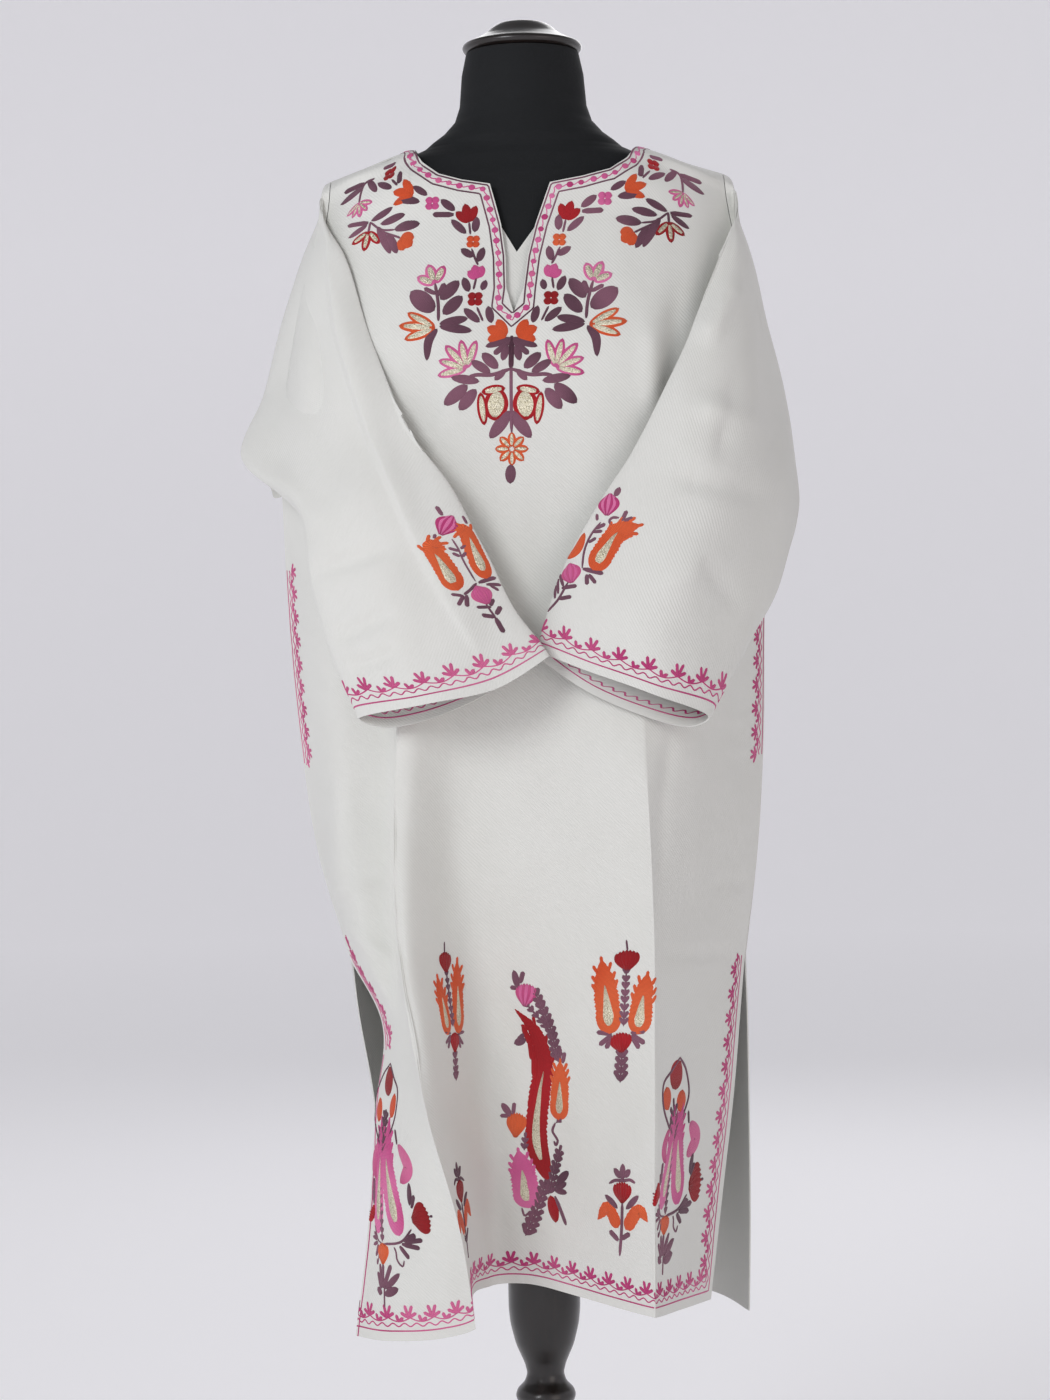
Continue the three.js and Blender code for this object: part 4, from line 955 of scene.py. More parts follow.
class Needlework:
    """The stitches of one piece of cloth, gathered as low, rounded rows of thread."""

    def __init__(self):
        self.flat, self.height, self.uv, self.faces, self.threads = [], [], [], [], []
        self.count = 0

    def row(self, path, halves, thread, lift=0.0, crown=0.7, across=False):
        """A row or a filled patch of stitches along a path, with its half width at each point."""
        path = np.asarray(path, float)
        halves = np.broadcast_to(np.asarray(halves, float), len(path))
        way = np.gradient(path, axis=0)
        side = np.stack([-way[:, 1], way[:, 0]], -1)
        side /= np.maximum(np.linalg.norm(side, axis=1, keepdims=True), 1e-6)
        spread = halves[:, None] * ROW_SHARES
        self.flat.append((path[:, None] + side[:, None] * spread[..., None]).reshape(-1, 2))
        self.height.append((lift + crown * ROW_HEIGHTS + 0 * halves[:, None]).ravel())
        start = 7.3 * len(self.flat)
        along = start + lengths_along(path)[:, None] + 0 * ROW_SHARES
        over = start + halves.max() * ROW_SHARES + 0 * along
        pair = (over, along) if across else (along, over)
        self.uv.append(np.stack(pair, -1).reshape(-1, 2))
        quads = grid_faces(len(path), len(ROW_SHARES), self.count)
        self.faces.append(quads)
        self.threads.append(np.full(len(quads), THREADS.index(thread)))
        self.count += len(path) * len(ROW_SHARES)

    def stem(self, points, width, thread):
        """A thin line with pointed ends."""
        path = smooth_path(points)
        t = np.linspace(0, 1, len(path))
        self.row(path, width / 2 * np.clip(0.45 + 6 * np.minimum(t, 1 - t), 0, 1), thread)

    def leaf(self, points, width, thread, lift=0.0, shape=leaf_shape):
        """One leaf or petal. Narrow ones swell under their close stitches."""
        path = smooth_path(points, 1.3 if width < 5 else 1.8)
        if width < 5 and shape is leaf_shape:
            width, shape = max(width * 1.3, 3.3), stroke_shape
        else:
            width *= 1.4 if width < 7 else 1.15
        self.row(path, width / 2 * shape(np.linspace(0, 1, len(path))) + 0.12, thread, lift)

    def goldleaf(self, points, width, thread, lift=0.0):
        """A leaf with a heart of gold thread."""
        path = smooth_path(points, 1.8)
        t = np.linspace(0, 1, len(path))
        self.row(path, width / 2 * leaf_shape(t) + 0.12, thread, lift, 0.6)
        heart = (t > 0.1) & (t < 0.9)
        edge = min(width / 2 - 2.2, width * 0.36)
        if heart.sum() >= 3 and edge > 0.5:
            self.row(path[heart], edge * leaf_shape((t[heart] - 0.1) / 0.8) + 0.1, "gold", lift + 0.35, 0.5)

    def petals(self, points, thread, angles, sides, width, cored):
        """Petals spread from one base, with the outer ones as long as a share of the middle one."""
        base, tip = np.asarray(points[0], float), np.asarray(points[-1], float)
        make = self.goldleaf if cored else self.leaf
        for angle in sorted(angles, key=abs, reverse=True):
            share = sides if angle else 1
            end = base + turned(tip - base, angle) * share
            make([base, end], width, thread, 0.0 if angle else 0.12)

    def tulip(self, points, width, thread, cored=False):
        """Three broad petals."""
        self.petals(points, thread, (-36, 0, 36), 0.9, width * 0.5, cored)

    def goldtulip(self, points, width, thread):
        """Three petals with hearts of gold, spread wide."""
        self.petals(points, thread, (-46, 0, 46), 0.92, width * 0.43, True)

    def goldlily(self, points, width, thread):
        """Three petals with hearts of gold, close together."""
        self.petals(points, thread, (-24, 0, 24), 0.88, width * 0.44, True)

    def goldfan(self, points, width, thread):
        """Five petals with hearts of gold."""
        self.petals(points, thread, (-60, -30, 0, 30, 60), 0.92, width * 0.24, True)

    def dots(self, points, width, thread):
        """A small flower of four round petals."""
        middle = np.asarray(points[0], float)
        for angle in (45, 135, 225, 315):
            heart = middle + turned((width * 0.27, 0), angle)
            self.disc(heart, width * 0.255, thread)

    def disc(self, middle, radius, thread, lift=0.0):
        """A round dot."""
        t = np.linspace(-1, 1, 9)
        path = np.asarray(middle, float) + np.stack([t * radius, 0 * t], -1)
        self.row(path, radius * np.sqrt(np.clip(1 - t**2, 0.003, 1)), thread, lift, 0.8)

    def daisy(self, points, width, thread):
        """Eight petals with hearts of gold."""
        middle = np.asarray(points[0], float)
        for k in range(8):
            way = turned((0, 1), 45 * k) * width
            self.goldleaf([middle + way * 0.06, middle + way * 0.5], width * 0.27, thread, 0.05 * (k % 2))

    def fan(self, points, width, thread, spread=1.0):
        """A ribbed shell with a scalloped top."""
        base, tip = np.asarray(points[0], float), np.asarray(points[-1], float)
        way = tip - base
        side = turned(way, 90) / np.linalg.norm(way)
        for k in (-3, 3, -2, 2, -1, 1, 0):
            share = k / 3
            start = base + side * share * width * 0.08
            bulge = base + way * 0.5 + side * share * width * 0.4
            end = base + way * (1 - 0.14 * share**2) + side * share * width * 0.42 * spread
            rib = "magenta" if thread == "pink" and k % 2 else thread
            self.leaf([start, bulge, end], width / 5.4, rib, 0.1 * (3 - abs(k)), petal_shape)

    def bud(self, points, width, thread):
        """A ribbed shell that is still closed."""
        self.fan(points, width, thread, 0.35)

    def paisley(self, points, width, thread, cored=True, heart_end=0.66, teeth=3.4):
        """A paisley stitched outwards, with a toothed edge and a heart of gold."""
        width *= 1.18
        path = smooth_path(points, 1.3)
        along = lengths_along(path)
        t = along / along[-1]
        saw = 1 - 0.16 * (np.mod(along / teeth, 1)) * np.clip((t - 0.12) / 0.2, 0, 1)
        self.row(path, width / 2 * drop_shape(t) * saw + 0.35, thread, 0.0, 0.75, across=True)
        if cored:
            heart = (t > 0.11) & (t < heart_end)
            inner = (t[heart] - 0.11) / (heart_end - 0.11)
            taper = np.clip(1 - ((inner - 0.26) / 0.74), 0, 1) ** 0.75
            halves = width * 0.25 * np.where(inner < 0.26, drop_shape(inner), taper) + 0.1
            self.row(path[heart], halves, "gold", 0.4, 0.5)
            for share, place in PAISLEY_TEETH:
                k = int(share * (len(path) - 1))
                way = path[k] - path[k - 2]
                way /= np.linalg.norm(way)
                start = path[k] + turned(way, 90) * width / 2 * drop_shape(t[k]) * place
                self.leaf([start, start + turned(way, place * 34) * TOOTH_LENGTH], 2.6, thread)

    def plume(self, points, width, thread):
        """A long paisley whose tip breaks into loose feathers."""
        self.paisley(points, width, thread, True, 0.62, 5.0)
        path = smooth_path(points, 1.3)
        for share, slip, length in PLUME_FEATHERS:
            k = int(share * (len(path) - 1))
            way = path[k] - path[k - 3]
            way /= np.linalg.norm(way)
            side = turned(way, 90) * width
            start = path[k] + side * 0.3
            self.leaf([start, start - way * length + side * 0.5 * slip], width * 0.2, thread, 0.1)

    def sprig(self, points, width, thread):
        """A stem with pairs of leaflets up to its tip."""
        self.stem(points, 2.4, thread)
        path, way, along = even_path(smooth_path(points), 1.0)
        reach = width / 2
        pitch = max(6.6, reach * 0.75)
        for at in np.arange(pitch * 0.5, along[-1], pitch):
            here = min(int(at), len(path) - 1)
            for sign in (-1, 1):
                end = path[here] + turned(way[here], sign * 42) * reach * (1.15 - 0.3 * at / along[-1])
                start = path[here] - way[here] * 1.5
                self.leaf([start, end], min(4.0, max(2.6, reach * 0.5)), thread)
        self.leaf([path[-1] - way[-1] * 2, path[-1] + way[-1] * reach * 0.6], 2.8, thread)

    def curl(self, points, width, thread):
        """A small curled paisley without gold."""
        self.paisley(points, width, thread, False)

    def work(self, motifs, place=None, widen=1.0):
        """Stitch a table of motifs, each point moved by a rule and each width changed if asked."""
        for kind, thread, width, points in motifs:
            moved = [place(*p) if place else p for p in points]
            getattr(self, kind)(moved, width * widen, thread)

    def flower(self, base, up, size, thread):
        """A border flower: four petals over a small curl."""
        for angle, share in ((-62, 0.78), (60, 0.78), (-20, 1), (17, 1)):
            self.leaf([base, base + turned(up, angle) * size * share], size * 0.21, thread)

    def border(self, edge, thread="magenta", inset=0.0, scroll=True, pitch=FLOWER_PITCH):
        """Three rows along an edge of the cloth: a chain, a zigzag and, inside them, a scroll of flowers."""
        edge = np.asarray(edge, float)
        path, _, _ = even_path(inset_path(edge, CHAIN_IN - inset), 3)
        self.row(path, 0.75, thread, 0, 0.5)
        path, way, along = even_path(inset_path(edge, ZIGZAG_IN - inset), 1.5)
        left = np.stack([-way[:, 1], way[:, 0]], -1)
        wave = ZIGZAG_RISE * np.sin(2 * math.pi * along / ZIGZAG_PITCH)
        self.row(path + left * wave[:, None], 0.7, thread, 0, 0.5)
        if not scroll:
            return
        path, way, along = even_path(inset_path(edge, SCROLL_IN - inset), 1.5)
        left = np.stack([-way[:, 1], way[:, 0]], -1)
        dip = 3.4 * np.abs(np.sin(math.pi * along / pitch))
        self.row(path - left * dip[:, None], 0.65, thread, 0, 0.45)
        for at in np.arange(0, along[-1], pitch):
            k = int(at / along[-1] * (len(path) - 1))
            self.flower(path[k], left[k], FLOWER_HEIGHT, thread)
            k = min(int((at + pitch / 2) / along[-1] * (len(path) - 1)), len(path) - 1)
            base = path[k] - left[k] * 3.2
            for angle in (-58, 20):
                self.leaf([base, base + turned(left[k], angle) * 6.2], 1.9, thread)

    def neck_band(self, edge):
        """Two plum lines round the neck with a row of joined pink dots between them."""
        edge = np.asarray(edge, float)
        for distance in (NECK_IN, NECK_OUT):
            path, _, _ = even_path(inset_path(edge, -distance), 2.5)
            self.row(path, 0.85, "plum", 0, 0.5)
        path, way, along = even_path(inset_path(edge, -DOTS_IN), 1.5)
        left = np.stack([-way[:, 1], way[:, 0]], -1)
        wave = 0.9 * np.sin(2 * math.pi * along / DOT_PITCH)
        self.row(path + left * wave[:, None], 0.6, "pink", 0, 0.45)
        for number, at in enumerate(np.arange(DOT_PITCH / 2, along[-1], DOT_PITCH)):
            k = int(at / along[-1] * (len(path) - 1))
            radius = DOT_RADIUS * (1.0 if number % 3 else 0.86)
            self.disc(path[k], radius, "magenta" if number % 5 < 2 else "pink")

    def lay(self, name, cloth, materials, depth=0.0):
        """Lay the stitches on the cloth as one mesh, or on its inside at a depth below the outer face."""
        flat = np.concatenate(self.flat)
        points, normals = cloth.at(*cloth.locate(flat[:, 0], flat[:, 1]))
        if depth:
            normals = -normals
        points = points + normals * (np.concatenate(self.height)[:, None] + depth)
        faces = np.concatenate(self.faces)
        a, b, d = points[faces[:, 0]], points[faces[:, 1]], points[faces[:, 3]]
        if np.sum(np.cross(b - a, d - a) * normals[faces[:, 0]]) < 0:
            faces = faces[:, ::-1]
        uv, threads = np.concatenate(self.uv), np.concatenate(self.threads)
        return make_object(name, points, faces, materials, uv, threads)


def mirrored(axis, squeeze=1.0):
    """A rule that reflects flat points in an upright axis and may draw them closer to it."""
    return lambda s, t: (axis - (s - axis) * squeeze, t)


def corner_to_right(reach):
    """A rule that carries a motif of the left corner to the leaning axis of the right one."""
    foot, top = (170, 375), (187, 567)

    def place(s, t):
        share = (t - 366) / 200
        return foot[0] + (top[0] - foot[0]) * share + (s + 245) * reach, foot[1] + (top[1] - foot[1]) * share

    return place


def neck_edge(panel, cloth):
    """The edge of the neck opening in flat millimetres, from the left shoulder to the right one."""
    points = []
    tip = NECK_TIP if panel is FRONT else []
    for sign, rows in ((-1, panel["neckline"][::-1]), (1, panel["neckline"][1:])):
        for left, right, z in rows:
            if tip and left == 0:
                points += tip
                continue
            place = neck_place(panel, -left if sign < 0 else right)
            row = np.interp(-z, -cloth.levels, np.arange(len(cloth.levels)))
            column = np.interp(place, cloth.places, np.arange(len(cloth.places)))
            arcs = cloth.arcs[int(row)]
            points.append((np.interp(column, np.arange(len(arcs)), arcs), z))
    return points


def side_edge(cloth, side, top, bottom, step):
    """The side edge of a body panel in flat millimetres, from top to bottom."""
    levels = np.linspace(top, bottom, max(2, round((top - bottom) / step) + 1))
    rows = np.interp(-levels, -cloth.levels, np.arange(len(cloth.levels)))
    edge = cloth.arcs[:, 0 if side < 0 else -1]
    return [(np.interp(row, np.arange(len(edge)), edge), z) for row, z in zip(rows, levels)]


def panel_borders(work, cloth, folded=False):
    """The border down both slits and along the hem."""
    left = side_edge(cloth, -1, SLIT_TOP_Z, HEM_Z, 40)
    right = side_edge(cloth, 1, SLIT_TOP_Z, HEM_Z, 40)
    hem = [(s, HEM_Z) for s in np.linspace(left[-1][0], right[-1][0], 9)[1:-1]]
    if folded:
        # The front's left slit edge turns under its flap, and only the first row of stitches stays in sight.
        work.border([(s, z) for s, z in left if z > 560])
        path, _, _ = even_path(inset_path([(s, z) for s, z in left if z < 600], 3), 3)
        work.row(path, 0.75, "magenta", 0, 0.5)
        work.border(left[-1:] + hem + right[::-1])
    else:
        work.border(left + hem + right[::-1])
    # The pocket openings in the side seams carry the same border.
    work.border(side_edge(cloth, -1, POCKET_TOP_Z, POCKET_BOTTOM_Z, 40), inset=6)
    work.border(side_edge(cloth, 1, POCKET_TOP_Z, POCKET_BOTTOM_Z, 40)[::-1], inset=6)


def front_needlework(cloth):
    """Everything stitched on the front panel."""
    work = Needlework()
    for place in (None, mirrored(-1)):
        work.work(CHEST_HALF, place)
        work.work(SHOULDER_SPRAY, place)
    work.work(CHEST_MIDDLE)
    # The right pair ends at the pleat's edge, and the left pair lies on the side of a fold.
    work.work(PAISLEY_PAIR, lambda s, t: (66 + (s - 66) * 0.88, t), 0.92)
    work.work(SMALL_SPRIG)
    work.work(PAISLEY_PAIR, lambda s, t: (-93 + (101 - s) * 0.62, t), 0.66)
    work.work(SMALL_SPRIG, lambda s, t: (-125 + 111 - s, t))
    work.work(TALL_SPRAY)
    work.work(CORNER_HALF + CORNER_MIDDLE)
    work.work(CORNER_HALF, mirrored(-245, 0.28), 0.6)
    # Each corner motif runs round a fold, so the half that turns away from the front is drawn narrow.
    work.work(CORNER_HALF, corner_to_right(1.25), 1.35)
    work.work(CORNER_HALF, corner_to_right(-0.5), 0.8)
    work.work(CORNER_MIDDLE, corner_to_right(1), 1.4)
    work.work(FLAME, None, 1.7)
    work.work(FLAME, lambda s, t: (-245 - (s - 180) * 0.8, t))
    work.neck_band(neck_edge(FRONT, cloth))
    panel_borders(work, cloth, folded=True)
    return work


def back_needlework(cloth):
    """The back carries the neck band, the borders and the corner motifs again."""
    work = Needlework()
    work.neck_band(neck_edge(BACK, cloth))
    panel_borders(work, cloth)
    for axis in (-165, 165):
        for place in (lambda s, t: (axis + s + 245, t), lambda s, t: (axis - s - 245, t)):
            work.work(CORNER_HALF, place)
        work.work(CORNER_MIDDLE, lambda s, t: (axis + s + 245, t))
        work.work(FLAME, lambda s, t: (axis + s - 180, t))
    work.work(TALL_SPRAY)
    return work


def sleeve_needlework(cloth, table):
    """The border round the cuff and the spray above it."""
    work = Needlework()
    length = cloth.arcs[-1, -1]
    cuff = [(s, 0) for s in np.linspace(0, length, 13)]
    work.border(cuff, pitch=CUFF_FLOWER_PITCH)
    work.work(table)
    reverse = Needlework()
    reverse.border(cuff, scroll=False)
    return work, reverse


# Materials.


def linear(hex_colour):
    """A linear colour with alpha from an sRGB hex value."""
    channels = [int(hex_colour[k : k + 2], 16) / 255 for k in (1, 3, 5)]
    return tuple(c / 12.92 if c <= 0.04045 else ((c + 0.055) / 1.055) ** 2.4 for c in channels) + (1.0,)


def add_node(tree, kind, settings=None, inputs=None):
    """Add a shader node, set its options, and give each input a value or link it from a socket."""
    made = tree.nodes.new(kind)
    for name, value in (settings or {}).items():
        setattr(made, name, value)
    for name, value in (inputs or {}).items():
        if isinstance(value, bpy.types.NodeSocket):
            tree.links.new(value, made.inputs[name])
        else:
            made.inputs[name].default_value = value
    return made


def new_material(name):
    """An empty node material and its tree."""
    material = bpy.data.materials.new(name)
    material.use_nodes = True
    material.node_tree.nodes.clear()
    return material, material.node_tree


def finish_material(tree, inputs):
    """Close a material with its surface shader."""
    surface = add_node(tree, "ShaderNodeBsdfPrincipled", inputs=inputs)
    add_node(tree, "ShaderNodeOutputMaterial", inputs={"Surface": surface.outputs["BSDF"]})


def wool_twill(light, shade):
    """Fine merino wool, woven in twill and pressed: matt, with a soft bloom and a faint diagonal rib.

    The real rib is about 0.7 mm apart, too fine for the render, so it is drawn 2.4 mm apart.
    """
    material, tree = new_material("pressed wool twill")
    flat = add_node(tree, "ShaderNodeUVMap", {"uv_map": "flat"})
    rib = add_node(tree, "ShaderNodeTexWave", {"bands_direction": "DIAGONAL"},
                   {"Vector": flat.outputs["UV"], "Scale": 185.0, "Distortion": 0.6, "Detail": 1.0,
                    "Detail Scale": 2.0})
    nap = add_node(tree, "ShaderNodeTexNoise", None,
                   {"Vector": flat.outputs["UV"], "Scale": 900.0, "Detail": 2.0})
    cloud = add_node(tree, "ShaderNodeTexNoise", None,
                     {"Vector": flat.outputs["UV"], "Scale": 14.0, "Detail": 3.0})
    mixed = add_node(tree, "ShaderNodeMath", {"operation": "MULTIPLY_ADD"},
                     {0: nap.outputs["Fac"], 1: 0.8, 2: rib.outputs["Fac"]})
    bump = add_node(tree, "ShaderNodeBump", None,
                    {"Height": mixed.outputs[0], "Strength": 0.35, "Distance": 0.0004})
    colour = add_node(tree, "ShaderNodeMix", {"data_type": "RGBA"},
                      {"Factor": cloud.outputs["Fac"], 6: linear(shade), 7: linear(light)})
    finish_material(tree, {
        "Base Color": colour.outputs[2], "Roughness": 0.88, "IOR": 1.5, "Specular IOR Level": 0.25,
        "Sheen Weight": 0.25, "Sheen Roughness": 0.45, "Normal": bump.outputs["Normal"],
    })
    return material


def wool_thread(name, light, shade, pitch_mm=1.1, patch=9.0):
    """Fine crewel wool worked in close rows of chain stitch: soft, fuzzy and a little uneven in its dyeing.

    A real row is about 0.8 mm wide, too fine for the render, so the rows are drawn 1.1 mm apart.
    """
    material, tree = new_material(name)
    flat = add_node(tree, "ShaderNodeUVMap", {"uv_map": "flat"})
    place = add_node(tree, "ShaderNodeTexCoord")
    rows = add_node(tree, "ShaderNodeTexWave", {"bands_direction": "Y"},
                    {"Vector": flat.outputs["UV"], "Scale": math.pi / (10 * pitch_mm * MM), "Distortion": 1.2,
                     "Detail": 1.0, "Detail Scale": 3.0})
    loops = add_node(tree, "ShaderNodeTexNoise", None,
                     {"Vector": flat.outputs["UV"], "Scale": 900.0, "Detail": 1.0})
    dye = add_node(tree, "ShaderNodeTexNoise", None,
                   {"Vector": place.outputs["Object"], "Scale": patch, "Detail": 2.0})
    sharper = add_node(tree, "ShaderNodeMapRange", None,
                       {"Value": dye.outputs["Fac"], "From Min": 0.4, "From Max": 0.6})
    base = add_node(tree, "ShaderNodeMix", {"data_type": "RGBA"},
                    {"Factor": sharper.outputs["Result"], 6: linear(shade), 7: linear(light)})
    # Painted shade and highlight: the colour is darkened in the grooves between the rows of stitches and
    # lightened a little on their crowns.
    depth = add_node(tree, "ShaderNodeMapRange", None,
                     {"Value": rows.outputs["Fac"], "To Min": 0.72, "To Max": 1.08})
    colour = add_node(tree, "ShaderNodeVectorMath", {"operation": "SCALE"},
                      {0: base.outputs[2], "Scale": depth.outputs["Result"]})
    mixed = add_node(tree, "ShaderNodeMath", {"operation": "MULTIPLY_ADD"},
                     {0: loops.outputs["Fac"], 1: 0.7, 2: rows.outputs["Fac"]})
    bump = add_node(tree, "ShaderNodeBump", None,
                    {"Height": mixed.outputs[0], "Strength": 0.6, "Distance": 0.0005})
    finish_material(tree, {
        "Base Color": colour.outputs[0], "Roughness": 0.72, "IOR": 1.5, "Specular IOR Level": 0.3,
        "Sheen Weight": 0.2, "Sheen Roughness": 0.4, "Normal": bump.outputs["Normal"],
    })
    return material


def gold_zari(light, shade):
    """Zari: a fine strip of pale gilt metal wound on a thread and couched down. It glitters in grains, which
    are painted light in the middle as glints and darker at the rim as shade.
    """
    material, tree = new_material("pale gold zari thread")
    flat = add_node(tree, "ShaderNodeUVMap", {"uv_map": "flat"})
    grains = add_node(tree, "ShaderNodeTexVoronoi", None, {"Vector": flat.outputs["UV"], "Scale": 900.0})
    # Painted glints and shade: each grain's colour runs from painted light in its middle to a darker shade at
    # its rim.
    painted_glints = add_node(tree, "ShaderNodeMix", {"data_type": "RGBA"},
                    {"Factor": grains.outputs["Distance"], 6: linear(light), 7: linear(shade)})
    bump = add_node(tree, "ShaderNodeBump", None,
                    {"Height": grains.outputs["Distance"], "Strength": 0.9, "Distance": 0.0006})
    finish_material(tree, {
        "Base Color": painted_glints.outputs[2], "Metallic": 0.75, "Roughness": 0.38, "Normal": bump.outputs["Normal"],
    })
    return material


def cotton_jersey(colour):
    """Black knitted cotton jersey stretched over the form: matt and finely grained, with a little bloom.

    The real stitches are about 0.8 mm apart, too fine for the render, so they are drawn 1.6 mm apart.
    """
    material, tree = new_material("knitted cotton jersey")
    place = add_node(tree, "ShaderNodeTexCoord")
    knit = add_node(tree, "ShaderNodeTexNoise", None,
                    {"Vector": place.outputs["Object"], "Scale": 620.0, "Detail": 2.0})
    bump = add_node(tree, "ShaderNodeBump", None,
                    {"Height": knit.outputs["Fac"], "Strength": 0.4, "Distance": 0.0004})
    finish_material(tree, {
        "Base Color": linear(colour), "Roughness": 0.8, "IOR": 1.5, "Specular IOR Level": 0.3,
        "Sheen Weight": 0.05, "Sheen Roughness": 0.4, "Normal": bump.outputs["Normal"],
    })
    return material


def lacquered_beech(colour, grain):
    """Beech turned on a lathe and lacquered black: a deep gloss coat over a faint brown grain."""
    material, tree = new_material("black lacquered beech")
    place = add_node(tree, "ShaderNodeTexCoord")
    stretched = add_node(tree, "ShaderNodeMapping", None,
                         {"Vector": place.outputs["Object"], "Scale": (60.0, 60.0, 5.0)})
    lines = add_node(tree, "ShaderNodeTexNoise", None, {"Vector": stretched.outputs["Vector"], "Scale": 3.0})
    mixed = add_node(tree, "ShaderNodeMix", {"data_type": "RGBA"},
                     {"Factor": lines.outputs["Fac"], 6: linear(colour), 7: linear(grain)})
    finish_material(tree, {
        "Base Color": mixed.outputs[2], "Roughness": 0.32, "IOR": 1.5,
        "Coat Weight": 0.4, "Coat Roughness": 0.15,
    })
    return material


def painted_floor(colour):
    """Matt emulsion paint on a studio floor: even, without shine. Its glow stands for light of the room."""
    material, tree = new_material("matt emulsion floor")
    finish_material(tree, {
        "Base Color": linear(colour), "Roughness": 0.95, "Specular IOR Level": 0.1,
        "Emission Color": linear(colour), "Emission Strength": 0.44,
    })
    return material


def kept_material(name, make, *values):
    """A material made once and then shared."""
    return bpy.data.materials.get(name) or make(*values)


# Settings, operators and panel.


class PheranSettings(bpy.types.PropertyGroup):
    """Sizes and colours that a user would change."""

    cloth_thickness: bpy.props.FloatProperty(
        name="Cloth thickness", description="Thickness of the wool, in millimetres",
        default=1.5, min=0.8, max=1.6)
    cloth_light: bpy.props.StringProperty(
        name="Cloth, light", description="Lightest colour of the undyed wool", default="#E0E0DB")
    cloth_shade: bpy.props.StringProperty(
        name="Cloth, shade", description="Darkest colour of the undyed wool", default="#D9D9D3")
    plum: bpy.props.StringProperty(name="Plum thread", description="Stems and leaves", default="#8C5D70")
    pink: bpy.props.StringProperty(name="Pink thread", description="Light petals and dots", default="#EA7DB0")
    magenta: bpy.props.StringProperty(name="Magenta thread", description="Borders", default="#C43F7C")
    red: bpy.props.StringProperty(name="Red thread", description="Red petals", default="#B51A24")
    orange: bpy.props.StringProperty(name="Orange thread", description="Orange petals", default="#E9673A")
    # The zari's light colour is painted as the glints in the middles of its grains.
    gold: bpy.props.StringProperty(name="Gold thread", description="Hearts of the petals", default="#F8F2DE")
    jersey_colour: bpy.props.StringProperty(
        name="Jersey", description="Colour of the form's cover", default="#131517")
    lacquer_colour: bpy.props.StringProperty(
        name="Lacquer", description="Colour of the stand's lacquer", default="#0B0908")
    grain_colour: bpy.props.StringProperty(
        name="Grain", description="Colour of the grain under the lacquer", default="#1D120D")
    floor_colour: bpy.props.StringProperty(
        name="Floor", description="Colour of the studio floor", default="#DAD9DC")


class PieceOperator:
    """Shared settings of the operators that make a piece."""

    bl_options = {"REGISTER", "UNDO"}

    @staticmethod
    def wool():
        """The cloth's material."""
        own = bpy.context.scene.pheran
        return kept_material("pressed wool twill", wool_twill, own.cloth_light, own.cloth_shade)

    @staticmethod
    def threads():
        """The thread materials, in the order of THREADS."""
        own = bpy.context.scene.pheran
        made = []
        for name, shade in SECOND_DYES.items():
            title = name + " crewel wool"
            made.append(kept_material(title, wool_thread, title, getattr(own, name), shade))
        made.append(kept_material("pale gold zari thread", gold_zari, own.gold, ZARI_PAINTED_SHADE))
        return made

    @staticmethod
    def wood():
        """The stand's material."""
        own = bpy.context.scene.pheran
        return kept_material("black lacquered beech", lacquered_beech, own.lacquer_colour, own.grain_colour)


def place_piece(made, slot, *nodes):
    """Let a piece move with the part and stand for its solids."""
    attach(made, "root")
    if nodes:
        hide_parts(*nodes)


class PHERAN_OT_front(PieceOperator, bpy.types.Operator):
    """Drape the front panel"""

    bl_idname = "pheran.front"
    bl_label = "Front panel"

    def execute(self, context):
        cloth, places, levels = panel_cloth(FRONT, FRONT_CREASES, seed=3.1, step_across=3.4, step_down=5.2)
        made = panel_object(
            "front_cloth", FRONT, cloth, places, levels, context.scene.pheran.cloth_thickness, self.wool())
        place_piece(made, "wool_cloth", "front")
        stitches = front_needlework(cloth).lay("front_needlework", cloth, self.threads())
        place_piece(stitches, "wool_cloth")
        return {"FINISHED"}


class PHERAN_OT_back(PieceOperator, bpy.types.Operator):
    """Drape the back panel"""

    bl_idname = "pheran.back"
    bl_label = "Back panel"

    def execute(self, context):
        cloth, places, levels = panel_cloth(BACK, BACK_CREASES, seed=11.7, step_across=5, step_down=8)
        made = panel_object(
            "back_cloth", BACK, cloth, places, levels, context.scene.pheran.cloth_thickness, self.wool())
        place_piece(made, "wool_cloth", "back")
        stitches = back_needlework(cloth).lay("back_needlework", cloth, self.threads())
        place_piece(stitches, "wool_cloth")
        return {"FINISHED"}


class PHERAN_OT_sleeves(PieceOperator, bpy.types.Operator):
    """Fold the two sleeves over the front"""

    bl_idname = "pheran.sleeves"
    bl_label = "Sleeves"

    def execute(self, context):
        for name, sign, seed, table, creases in (
            ("sleeve_left", -1, 21.3, LEFT_SLEEVE_SPRAY, LEFT_SLEEVE_CREASES),
            ("sleeve_right", 1, 33.9, RIGHT_SLEEVE_SPRAY, RIGHT_SLEEVE_CREASES),
        ):
            cloth = sleeve_cloth(name, sign, creases, seed, ring_steps=24, rows=121)
            made = sleeve_object(name + "_cloth", cloth, context.scene.pheran.cloth_thickness, self.wool())
            place_piece(made, "wool_cloth", name)
            outer, reverse = sleeve_needlework(cloth, table)
            stitches = outer.lay(name + "_needlework", cloth, self.threads())
            place_piece(stitches, "wool_cloth")
            inner = reverse.lay(
                name + "_needlework_reverse", cloth, self.threads(), context.scene.pheran.cloth_thickness)
            place_piece(inner, "wool_cloth")
        return {"FINISHED"}


class PHERAN_OT_insert(PieceOperator, bpy.types.Operator):
    """Set the small panel behind the neck slit"""

    bl_idname = "pheran.insert"
    bl_label = "Slit insert"

    def execute(self, context):
        made = insert_object(context.scene.pheran.cloth_thickness, self.wool())
        place_piece(made, "wool_cloth", "slit_insert")
        return {"FINISHED"}


